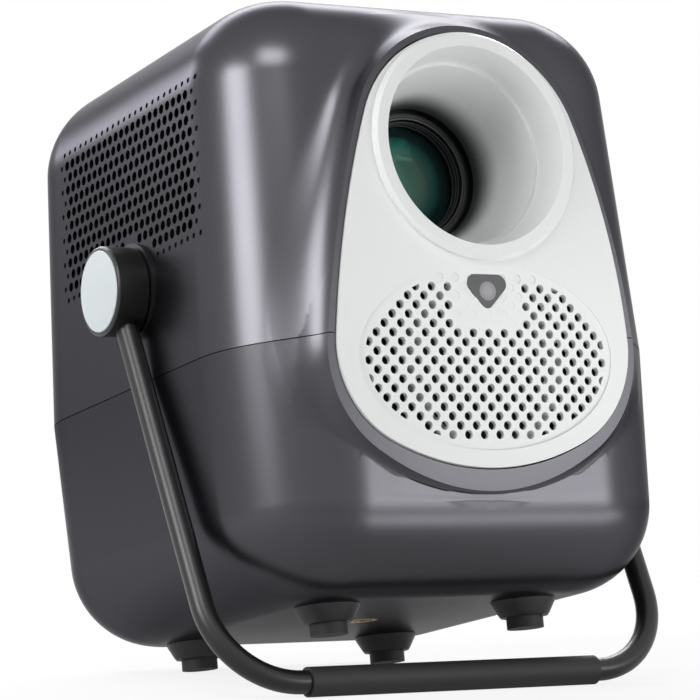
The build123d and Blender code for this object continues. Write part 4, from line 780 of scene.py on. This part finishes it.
@dataclass(frozen=True)
class CasingField:
    """Signed distance to the casing's skin, in upright millimetres."""

    half_width: float = 80.0
    half_depth: float = 88.2
    corner: float = 38.0
    split: float = 77.9
    height: float = 195.0
    top_round: float = 31.5
    bottom_round: float = 29.6
    upper_draft: float = 2.7
    lower_draft: float = 2.5
    lip: float = 1.9
    flare: float = 5.0
    crown_flare: float = 4.0
    foot_flare: float = 1.5
    front_foot: float = -92.0
    front_crown: float = -98.5
    root_foot: float = -86.2
    root_crown: float = -73.5
    overrun: Span = (-0.2, 1.4)
    stretch: float = 1.0011
    stretch_rear: float = 0.003
    slope: float = 0.93
    behind_root: float = 9.0
    blend: float = 7.0
    least_blend: float = 0.6
    proud_share: float = 0.9
    fade_depth: float = 16.0
    fade_rate: float = 0.45
    lip_radius: float = 699.0
    lip_centre: Point = (0.0, 602.4, 138.0)
    outline: Teardrop = field(default_factory=Teardrop)

    def _drafted(self, c: np.ndarray, h: np.ndarray, height: float, draft: float,
                 edge: float) -> np.ndarray:
        """Distance to a slanted side and a lid that meet in an arc.

        Args:
            c: distance of the points from the core box, seen from above.
            h: their height over the seam.
            height: the lid's height over the seam.
            draft: the side's slant in degrees.
            edge: the arc's radius.

        Returns:
            The distances, in the plane of c and h.
        """
        a = math.radians(draft)
        side = math.cos(a) * (c - self.corner) + math.sin(a) * h
        lid = h - height
        hp = height - edge
        cp = self.corner - (edge + math.sin(a) * hp) / math.cos(a)
        vc, vh = c - cp, h - hp
        in_arc = (vh > math.tan(a) * vc) & (vc > 0)
        return np.where(in_arc, np.hypot(vc, vh) - edge, np.maximum(side, lid))

    def body(self, p: np.ndarray) -> np.ndarray:
        """Distance to the box-shaped casing without its face surround.

        Args:
            p: points (n, 3).

        Returns:
            The distances, negative inside.
        """
        dx = np.abs(p[..., 0]) - (self.half_width - self.corner)
        dy = np.abs(p[..., 1]) - (self.half_depth - self.corner)
        core = np.hypot(np.maximum(dx, 0), np.maximum(dy, 0)) + np.minimum(np.maximum(dx, dy), 0)
        h = p[..., 2] - self.split
        upper = self._drafted(core, h, self.height - self.split, self.upper_draft, self.top_round)
        lower = self._drafted(core, -h, self.split, self.lower_draft, self.bottom_round)
        return np.where(h >= 0, upper, lower)

    def surround(self, p: np.ndarray) -> np.ndarray:
        """Distance to the flank of the surround: the outline grows from the
        lip's plane back to the root's plane.

        Args:
            p: points (n, 3).

        Returns:
            The distances, negative inside.
        """
        x, y, z = p[..., 0], p[..., 1], p[..., 2]
        top = self.outline.crown_z + self.outline.crown_radius
        share = (z - self.outline.foot_z) / (top - self.outline.foot_z)
        front = self.front_foot + (self.front_crown - self.front_foot) * share
        root = self.root_foot + (self.root_crown - self.root_foot) * share
        t = np.clip((y - front) / np.maximum(root - front, 1.0), *self.overrun)
        side = self.outline.distance(x, z * (self.stretch + self.stretch_rear * t),
                                     self.lip + self.flare * t, self.crown_flare * t,
                                     self.foot_flare * t)
        return np.maximum(side * self.slope, y - root - self.behind_root)

    def skin(self, p: np.ndarray) -> np.ndarray:
        """Casing and surround, run together by a hollow fillet: the smooth
        least of a and b is min(a, b) - max(k - |a - b|, 0)^2 / 4k.

        Args:
            p: points (n, 3).

        Returns:
            The distances, negative inside.
        """
        a, b = self.body(p), self.surround(p)
        width = self.fillet(p)
        overlap = np.maximum(width - np.abs(a - b), 0.0)
        return np.minimum(a, b) - overlap**2 / (4 * width)

    def lip_y(self, p: np.ndarray) -> np.ndarray:
        """Depth of the lip's spherical face above and below a point."""
        rise = p[..., 0]**2 + (p[..., 2] - self.lip_centre[2])**2
        return self.lip_centre[1] - np.sqrt(np.maximum(self.lip_radius**2 - rise, 1.0))

    def fillet(self, p: np.ndarray) -> np.ndarray:
        """Width of the fillet: never more than the lip stands proud of the
        casing, and fading behind the surround's root.

        Args:
            p: points (n, 3).

        Returns:
            The widths.
        """
        proud = self.body(np.stack([p[..., 0], self.lip_y(p), p[..., 2]], -1))
        fading = (self.root_crown + self.fade_depth - p[..., 1]) * self.fade_rate
        narrow = np.minimum(proud * self.proud_share, fading)
        return np.clip(narrow, self.least_blend, self.blend)

    def gradient(self, p: np.ndarray, step: float = 0.01) -> np.ndarray:
        """Unit gradient of the skin by central differences.

        Args:
            p: points (n, 3).
            step: how far to either side the skin is sampled.

        Returns:
            The unit vectors (n, 3).
        """
        g = np.stack([self.skin(p + step * e) - self.skin(p - step * e) for e in np.eye(3)], -1)
        return g / np.maximum(np.linalg.norm(g, axis=-1, keepdims=True), 1e-12)


# ------------------------------------------------------------- reading of meshes
def read(items: Any, attribute: str, width: int, kind: type = np.float32) -> np.ndarray:
    """One attribute of all vertices, edges, loops or faces of a mesh.

    Args:
        items: the mesh's collection.
        attribute: the attribute's name.
        width: numbers per item.
        kind: type of the numbers in the mesh.

    Returns:
        Array (n, width), or (n,) where width is 1.
    """
    out = np.empty(len(items) * width, kind)
    items.foreach_get(attribute, out)
    return out if width == 1 else out.reshape(-1, width)


def coordinates(mesh: bpy.types.Mesh) -> np.ndarray:
    """Vertices of a mesh."""
    return read(mesh.vertices, "co", 3).astype(float)


def loop_faces(mesh: bpy.types.Mesh) -> np.ndarray:
    """Face number of each loop of a mesh."""
    totals = read(mesh.polygons, "loop_total", 1, np.int32)
    return np.repeat(np.arange(len(mesh.polygons)), totals)


# ----------------------------------------------------------------------- casing
@dataclass
class Casing:
    """The two metal shells, with an exact skin laid over their solids.

    Lengths are in upright millimetres. `coarse`, `middling` and `fine` are the
    longest edges on the plain skin, on the surround's flank, and where the two
    run together, which is within `margin` of the fillet. The names in `reach`
    say how far a vertex may lie off a surface and still belong to it, and
    `stride` is the longest move of a vertex in one step. A face takes the
    field's normal where its own is turned from it by less than `facing`, a
    cosine.
    """

    finish: Finish
    form: CasingField = field(default_factory=CasingField)
    coarse: float = 9.0
    middling: float = 3.0
    fine: float = 1.4
    rounds: int = 5
    margin: float = 2.0
    skin_reach: float = 0.25
    body_reach: float = 0.05
    flank_reach: float = 0.8
    lip_reach: float = 0.03
    refine_front: float = -40.0
    smooth_front: float = -60.0
    seam_reach: float = 0.6
    collapsed: float = 1e-5  # metres
    smoothings: int = 8
    stride: float = 3.0
    sharp: float = 32.0
    shade_reach: float = 0.1
    shade_flank: float = 0.9
    facing: float = 0.5

    def _on_lip(self, place: np.ndarray) -> np.ndarray:
        """True for points on the narrow front face of the surround."""
        away = np.linalg.norm(place - np.array(self.form.lip_centre), axis=-1)
        return np.abs(away - self.form.lip_radius) < self.lip_reach

    def _long_edges(self, place: np.ndarray, ends: np.ndarray) -> np.ndarray:
        """Edges of the outer skin that are longer than they may be.

        Args:
            place: vertices (n, 3).
            ends: vertex numbers (m, 2) of each edge.

        Returns:
            True for each long edge.
        """
        a, b = self.form.body(place), self.form.surround(place)
        lip = self._on_lip(place)
        outer = np.where(b < a, b > -self.flank_reach, a > -self.body_reach) & ~lip
        near = (np.abs(a - b) < self.form.blend + self.margin) & (place[:, 1] < self.refine_front)
        near = near[ends].any(1)
        middle = place[ends].mean(1)
        side = self.form.surround(middle)
        flank = (np.abs(side) < self.flank_reach) & (side < self.form.body(middle))
        flank &= ~self._on_lip(middle)
        inside = outer[ends].all(1) | ((outer | lip)[ends].all(1) & flank)
        length = np.linalg.norm(place[ends[:, 0]] - place[ends[:, 1]], axis=-1)
        limit = np.where(near, self.fine, np.where(flank, self.middling, self.coarse))
        return inside & (length > limit)

    def refine(self, mesh: bpy.types.Mesh) -> None:
        """Halves the long edges of the outer skin, a few times over.

        Args:
            mesh: the shell's mesh, changed in place.
        """
        for _ in range(self.rounds):
            work = bmesh.new()
            work.from_mesh(mesh)
            work.edges.ensure_lookup_table()
            place = STAND.to_casing(np.array([v.co for v in work.verts]))
            ends = np.array([[v.index for v in e.verts] for e in work.edges])
            chosen = [work.edges[i] for i in np.flatnonzero(self._long_edges(place, ends))]
            if chosen:
                bmesh.ops.subdivide_edges(work, edges=chosen, cuts=1)
                bmesh.ops.triangulate(work, faces=work.faces)
                bmesh.ops.dissolve_degenerate(work, dist=self.collapsed, edges=work.edges)
                bmesh.ops.triangulate(work, faces=work.faces)
                work.to_mesh(mesh)
            work.free()
            if not chosen:
                break

    def lay_skin(self, mesh: bpy.types.Mesh) -> None:
        """Moves the outer vertices onto the field, and evens out their spacing
        where the surround runs into the casing, away from the seam.

        Args:
            mesh: the shell's mesh, changed in place.
        """
        place = STAND.to_casing(coordinates(mesh))
        body, side = self.form.body(place), self.form.surround(place)
        lip = self._on_lip(place)
        outer = np.abs(np.minimum(body, side)) < self.skin_reach
        outer |= (np.abs(side) < self.flank_reach) & (body > side)
        outer &= ~lip
        near = np.abs(body - side) < self.form.blend + self.margin
        near &= place[:, 1] < self.smooth_front
        near &= np.abs(place[:, 2] - self.form.split) > self.seam_reach
        self._settle(place, outer, 3)
        ends = read(mesh.edges, "vertices", 2, np.int32)
        ends = ends[(outer | lip)[ends].all(1)]
        for _ in range(self.smoothings):
            self._even_out(place, ends, outer & near)
            self._settle(place, outer & near, 2)
        mesh.vertices.foreach_set("co", STAND.to_frame(place).astype(np.float32).ravel())
        mesh.update()
        weld(mesh, distance=1e-7, reorient=False, sharp=self.sharp)

    def _settle(self, place: np.ndarray, chosen: np.ndarray, steps: int) -> None:
        """Newton steps onto the field, each the distance along the gradient.

        Args:
            place: vertices (n, 3), changed in place.
            chosen: which of them move.
            steps: how many steps.
        """
        for _ in range(steps):
            part = place[chosen]
            step = np.clip(self.form.skin(part), -self.stride, self.stride)
            place[chosen] = part - step[:, None] * self.form.gradient(part)

    @staticmethod
    def _even_out(place: np.ndarray, ends: np.ndarray, chosen: np.ndarray) -> None:
        """Moves points half way to the mean of their neighbours.

        Args:
            place: vertices (n, 3), changed in place.
            ends: vertex numbers (m, 2) of the edges that count.
            chosen: which points move, if they have three neighbours or more.
        """
        total, count = np.zeros_like(place), np.zeros(len(place))
        for first, second in ((0, 1), (1, 0)):
            np.add.at(total, ends[:, first], place[ends[:, second]])
            np.add.at(count, ends[:, first], 1.0)
        moved = chosen & (count > 2)
        place[moved] = 0.5 * place[moved] + 0.5 * total[moved] / count[moved, None]

    def shade_by_field(self, mesh: bpy.types.Mesh) -> None:
        """Custom normals, so that the shading has no facets: the field's
        gradient wherever a face lies along it, and the sphere's own normal on
        the lip.

        Args:
            mesh: the shell's mesh, changed in place.
        """
        place = STAND.to_casing(coordinates(mesh))
        index, faces = read(mesh.loops, "vertex_index", 1, np.int32), loop_faces(mesh)
        normals = read(mesh.corner_normals, "vector", 3).astype(float)
        flat = STAND.back_direction(read(mesh.polygons, "normal", 3).astype(float))[faces]
        gradient = self.form.gradient(place)[index]
        body, side = self.form.body(place), self.form.surround(place)
        on_flank = (side < body) & (np.abs(side) < self.shade_flank)
        close = ((np.abs(self.form.skin(place)) < self.shade_reach) | on_flank)[index]
        along = (gradient * flat).sum(-1)
        off_lip = np.bincount(faces, weights=~self._on_lip(place)[index])[faces] > 0
        whole = np.bincount(faces, weights=~close)[faces] == 0
        use = close & off_lip & (whole | (np.abs(along) > self.facing))
        sign = np.where(along < 0, -1.0, 1.0)[:, None]
        normals[use] = (STAND.direction(gradient) * sign)[use]
        outward = ((place - np.array(self.form.lip_centre)) / self.form.lip_radius)[index]
        normals[~off_lip] = STAND.direction(outward[~off_lip])
        mesh.normals_split_custom_set(normals.tolist())

    def build(self) -> list[bpy.types.Object]:
        """Builds both shells and lets them stand for their nodes.

        Returns:
            The two pieces.
        """
        made = []
        for node in ("upper_shell", "lower_shell"):
            mesh = frame["nodes"][node].data.copy()
            weld(mesh, distance=MERGE, reorient=False)
            self.refine(mesh)
            self.lay_skin(mesh)
            self.shade_by_field(mesh)
            made.append(add_piece(node + "_skin", mesh, self.finish, "projector",
                                  [node]))
        return made


# ------------------------------------------------------------------------- lens
@dataclass
class LensRings:
    """Front of the lens barrel: a rim, fine grooves behind it and the stepped
    ring that holds the glass. Lengths are in upright millimetres."""

    finish: Finish
    front_y: float = -58.3
    rear_y: float = -20.0
    outer: float = 21.75
    bore: float = 19.4
    ledge: float = 0.5
    ledge_depth: float = 0.4
    ledge_slant: float = 0.05
    rim: float = 0.7
    grooves: int = 9
    pitch: float = 1.1
    groove_depth: float = 0.18
    groove_width: float = 0.8
    groove_wall: float = 0.25
    soft: float = 0.08
    keeper_front: float = -56.6
    keeper_rear: float = -53.5
    keeper_bore: float = 18.1
    keeper_play: float = 0.25
    keeper_rim: float = 0.5
    tread: float = 0.75
    fall_share: float = 0.6
    steps: int = 2

    def barrel(self) -> bpy.types.Mesh:
        """Profile of the barrel, from the bore over the rim and its ledge to
        the grooves, turned about the lens axis.

        Returns:
            The barrel's mesh.
        """
        y, r, bore, soft = self.front_y, self.outer, self.bore, self.soft
        ledge = y + self.ledge_depth
        profile = [(bore, self.rear_y, 0), (bore, ledge + self.ledge_slant, 0.12),
                   (bore + self.ledge, ledge, 0.1), (bore + self.rim, y, 0.15), (r, y, 0.35)]
        deep = r - self.groove_depth
        for groove in range(self.grooves):
            place = y + self.pitch + groove * self.pitch
            profile += [(r, place, soft), (deep, place + self.groove_wall, soft),
                        (deep, place + self.groove_width - self.groove_wall, soft),
                        (r, place + self.groove_width, soft)]
        profile += [(r, self.rear_y, 0.2), (bore, self.rear_y, 0)]
        return lathe("barrel_front", rounded(profile))

    def keeper(self) -> bpy.types.Mesh:
        """Profile of the keeper, whose bore narrows towards the glass by a
        tread and a fall for each step, turned about the lens axis.

        Returns:
            The keeper's mesh.
        """
        outside = self.bore - self.keeper_play
        inside = outside - self.keeper_rim
        profile = [(outside, self.keeper_rear, 0), (outside, self.keeper_front, 0.15)]
        run = (self.keeper_rear - self.keeper_front) / self.steps
        fall = (inside - self.keeper_bore) / self.steps
        for step in range(self.steps):
            radius, place = inside - step * fall, self.keeper_front + step * run
            tread = place + run * self.tread
            profile += [(radius, place, 0.12), (radius, tread, self.soft),
                        (radius - fall * self.fall_share, tread, self.soft)]
        profile += [(self.keeper_bore, self.keeper_rear, 0), (outside, self.keeper_rear, 0)]
        return lathe("keeper_ring", rounded(profile))

    def build(self) -> list[bpy.types.Object]:
        """Builds the barrel and the keeper and lets them stand for their nodes.

        Returns:
            The two pieces.
        """
        pieces = (("lens_barrel_rings", self.barrel(), "lens_barrel"),
                  ("lens_keeper", self.keeper(), "retaining_ring"))
        return [add_piece(name, mesh, self.finish, "lens", [node])
                for name, mesh, node in pieces]


# --------------------------------------------------------------------- dressing
@dataclass
class SolidDresser:
    """Gives every solid that stays its finish and a smooth shading."""

    finishes: dict[str, Finish]
    sharp: float = 32.0

    def build(self) -> list[bpy.types.Object]:
        """Dresses each node by its material slot.

        Returns:
            The nodes' objects.
        """
        slots = {s["node"]: s["material_slot"] for s in frame["record"]["subparts"]}
        for name, node in frame["nodes"].items():
            mesh = node.data
            mesh.materials.clear()
            mesh.materials.append(self.finishes[slots[name]].material())
            mesh.polygons.foreach_set("use_smooth", np.ones(len(mesh.polygons), bool))
            joiner = node.modifiers.new("join", "WELD")
            joiner.merge_threshold = MERGE
            splitter = node.modifiers.new("split", "EDGE_SPLIT")
            splitter.split_angle = math.radians(self.sharp)
            splitter.use_edge_sharp = False
        return list(frame["nodes"].values())


# ----------------------------------------------------------------------- studio
def aim(made: bpy.types.Object, axes: Sequence[np.ndarray], place: Sequence[float]) -> None:
    """Links a lamp or a camera into the scene and turns it as asked.

    Args:
        made: the object.
        axes: its X, Y and Z axes; it looks along -Z.
        place: its place in metres.
    """
    bpy.context.scene.collection.objects.link(made)
    rows = [[*(axis[i] for axis in axes), place[i]] for i in range(3)]
    made.matrix_world = Matrix([*rows, [0, 0, 0, 1]])


def unit(vector: np.ndarray) -> np.ndarray:
    """The vector at length 1."""
    return vector / np.linalg.norm(vector)


@dataclass(frozen=True)
class Softbox:
    """Rectangular lamp aimed at a point."""

    name: str
    place: Point
    target: Point
    size: Span
    power: float

    @classmethod
    def towards(cls, name: str, azimuth: float, elevation: float, distance: float,
                size: Span, radiance: float) -> "Softbox":
        """Lamp aimed at the projector's middle, placed by angles.

        Args:
            name: the lamp's name.
            azimuth: degrees from the front towards +X.
            elevation: degrees above the middle.
            distance: metres from the middle.
            size: width and height in metres.
            radiance: brightness of its face.

        Returns:
            The lamp.
        """
        a, e = math.radians(azimuth), math.radians(elevation)
        place = (distance * math.sin(a) * math.cos(e), -distance * math.cos(a) * math.cos(e),
                 MIDDLE[2] + distance * math.sin(e))
        return cls(name, place, MIDDLE, size, radiance * math.pi * size[0] * size[1])

    def build(self) -> bpy.types.Object:
        """Adds the lamp to the scene, unseen by the camera.

        Returns:
            The lamp's object.
        """
        data = bpy.data.lights.new(self.name, "AREA")
        data.shape = "RECTANGLE"
        data.size, data.size_y = self.size
        data.energy = self.power
        made = bpy.data.objects.new(self.name, data)
        made.visible_camera = False
        back = unit(np.array(self.place, float) - np.array(self.target, float))
        right = unit(np.cross([0.0, 0.0, 1.0], back))
        aim(made, (right, np.cross(back, right), back), self.place)
        return made


@dataclass
class Studio:
    """Floor, world, lamps and the camera of the photograph."""

    azimuth: float = -30.6
    elevation: float = -10.64
    roll: float = -5.32
    distance: float = 1099.6
    target: Point = (7.11, 3.69, 93.27)
    focal_pixels: float = 3221.7
    picture: float = 700.0
    sensor: float = 36.0
    clip: Span = (0.05, 50.0)
    ambient: float = 0.08
    floor_size: float = 12.0
    floor_tones: Span = (0.86, 0.9)
    floor_white: Span = (0.85, 1.0)
    floor_reach: Span = (0.3, 0.8)
    floor_gloss: float = 0.3
    lamps: tuple[Softbox, ...] = (
        # name, azimuth, elevation, distance, (width, height), radiance
        Softbox.towards("corner_panel", -80.0, 22.0, 1.2, (0.48, 0.46), 11.0),
        Softbox.towards("front_panel", 32.0, 7.0, 1.3, (0.52, 0.38), 5.6),
        Softbox.towards("high_panel", -42.0, 46.0, 1.25, (0.50, 0.34), 8.8),
        Softbox.towards("rear_panel", 158.0, 39.0, 1.3, (1.5, 0.32), 12.5),
        Softbox.towards("edge_panel", -155.0, 20.0, 1.3, (0.36, 0.28), 11.0),
        # name, place, target, (width, height), power
        Softbox("table_glow", (0.17, -0.27, 0.012), (0.17, -0.2701, 1.0), (0.30, 0.13), 0.48),
    )

    def camera(self) -> None:
        """Camera solved in the upright casing's frame, then leant with it."""
        az, el, rl = map(math.radians, (self.azimuth, self.elevation, self.roll))
        back = np.array([math.sin(az) * math.cos(el), -math.cos(az) * math.cos(el), math.sin(el)])
        level = unit(np.cross([0.0, 0.0, 1.0], back))
        rise = np.cross(back, level)
        right = level * math.cos(rl) + rise * math.sin(rl)
        up = -level * math.sin(rl) + rise * math.cos(rl)
        data = bpy.data.cameras.new("camera")
        data.lens = self.focal_pixels * self.sensor / self.picture
        data.sensor_width = self.sensor
        data.clip_start, data.clip_end = self.clip
        made = bpy.data.objects.new("camera", data)
        place = STAND.to_frame(np.array(self.target) + back * self.distance)
        aim(made, STAND.direction(np.stack([right, up, back])), place)
        bpy.context.scene.camera = made

    def world(self) -> None:
        """White where the camera, a gloss or a glass sees it, dimmer as light."""
        world = bpy.data.worlds.new("studio")
        bpy.context.scene.world = world
        world.use_nodes = True
        graph = Graph(world.node_tree)
        seen = graph.sees(Ray.CAMERA) + graph.sees(Ray.GLOSS) + graph.sees(Ray.THROUGH)
        white = graph.node("ShaderNodeClamp", inputs={"Value": seen})
        strength = white * (1.0 - self.ambient) + self.ambient
        inputs = {"Color": (1.0, 1.0, 1.0), "Strength": strength}
        graph.end(graph.node("ShaderNodeBackground", inputs=inputs), "ShaderNodeOutputWorld")

    def floor(self) -> None:
        """Pale floor that keeps the shadow, nearly white to the camera near
        the projector and wholly white farther away."""
        mesh = bpy.data.meshes.new("floor")
        s = self.floor_size
        mesh.from_pydata([(-s, -s, 0), (s, -s, 0), (s, s, 0), (-s, s, 0)], [], [(0, 1, 2, 3)])
        made = bpy.data.objects.new("floor", mesh)
        bpy.context.scene.collection.objects.link(made)
        material = bpy.data.materials.new("floor")
        material.use_nodes = True
        graph = Graph(material.node_tree)
        grain = graph.noise(graph.place(), 40.0, 2.0)
        low, high = ((tone, tone, tone) for tone in self.floor_tones)
        diffuse = graph.principled(Base_Color=graph.mix(grain, low, high), Roughness=0.9,
                                   Specular_IOR_Level=0.1)
        inputs = {"Color": (1.0, 1.0, 1.0), "Strength": 1.0}
        glow = graph.node("ShaderNodeEmission", inputs=inputs)
        away = graph.vector(VectorStep.LENGTH, graph.place())
        near, far = self.floor_white
        white = away.step(*self.floor_reach) * (far - near) + near
        factor = graph.sees(Ray.CAMERA) * white + graph.sees(Ray.GLOSS) * self.floor_gloss
        factor = graph.node("ShaderNodeClamp", inputs={"Value": factor})
        graph.end(graph.node("ShaderNodeMixShader", inputs={0: factor, 1: diffuse, 2: glow}))
        mesh.materials.append(material)

    def build(self) -> None:
        """Sets the stage, lamps and camera."""
        self.world()
        self.floor()
        self.camera()
        for lamp in self.lamps:
            lamp.build()
        bpy.context.scene.view_settings.view_transform = "Standard"


def finishes() -> dict[str, Finish]:
    """Finishes by the record's material slots, which they are named after.

    Returns:
        The finishes.
    """
    black = (0.016, 0.016, 0.017)
    smooth, fine, coarse = 0.00001, 0.00003, 0.00005
    made = (
        SatinMetal("gunmetal_shell"),
        FaceWhite("white_face", (0.725, 0.738, 0.733), 0.385, 700.0, smooth, variation=0.01),
        SmokeWindow("smoke_window"),
        Moulding("camera_block", black, 0.4),
        Moulding("black_barrel", (0.008, 0.008, 0.009), 0.35, 1200.0, smooth),
        CoatedGlass("coated_glass"),
        Glass("clear_glass"),
        Enamel("black_satin"),
        Rubber("black_rubber"),
        Moulding("pale_cap", (0.50, 0.545, 0.56), 0.42, 1500.0, smooth, variation=0.02),
        Moulding("hub_plastic", (0.006, 0.006, 0.0065), 0.36, 1500.0, smooth),
        Metal("steel", (0.55, 0.56, 0.57), 0.32),
        Metal("brass", (0.70, 0.52, 0.22), 0.3),
        Moulding("foot_plastic", black, 0.45, 1400.0, fine),
        Moulding("engine_plastic", (0.03, 0.03, 0.032), 0.55, 900.0, fine),
        Metal("sink_aluminium", (0.72, 0.73, 0.74), 0.36),
        Board("green_board"),
        Moulding("panel_glass", (0.05, 0.06, 0.07), 0.08, 200.0, 0.0, variation=0.02, coat=0.8),
        Moulding("speaker_paper", black, 0.8, 600.0, 0.00008),
        Moulding("magnet_grey", (0.08, 0.08, 0.085), 0.6, 700.0, coarse),
        Moulding("tray_black", (0.02, 0.02, 0.021), 0.5, 1400.0, fine),
        Moulding("gear_plastic", (0.7, 0.69, 0.64), 0.45, 1200.0, smooth),
        Metal("socket_metal", (0.68, 0.69, 0.70), 0.25),
    )
    return {finish.name: finish for finish in made}


def main() -> None:
    """Builds the projector's looks and its studio, and reports each piece."""
    logging.basicConfig(level=logging.INFO, format="%(message)s")
    looks = finishes()
    builders = (SolidDresser(looks), Casing(looks["gunmetal_shell"]),
                LensRings(looks["black_barrel"]))
    for builder in builders:
        for piece in builder.build():
            log.info("%s %s: %d faces", type(builder).__name__, piece.name,
                     len(piece.data.polygons))
    Studio().build()


if __name__ == "__main__":
    main()
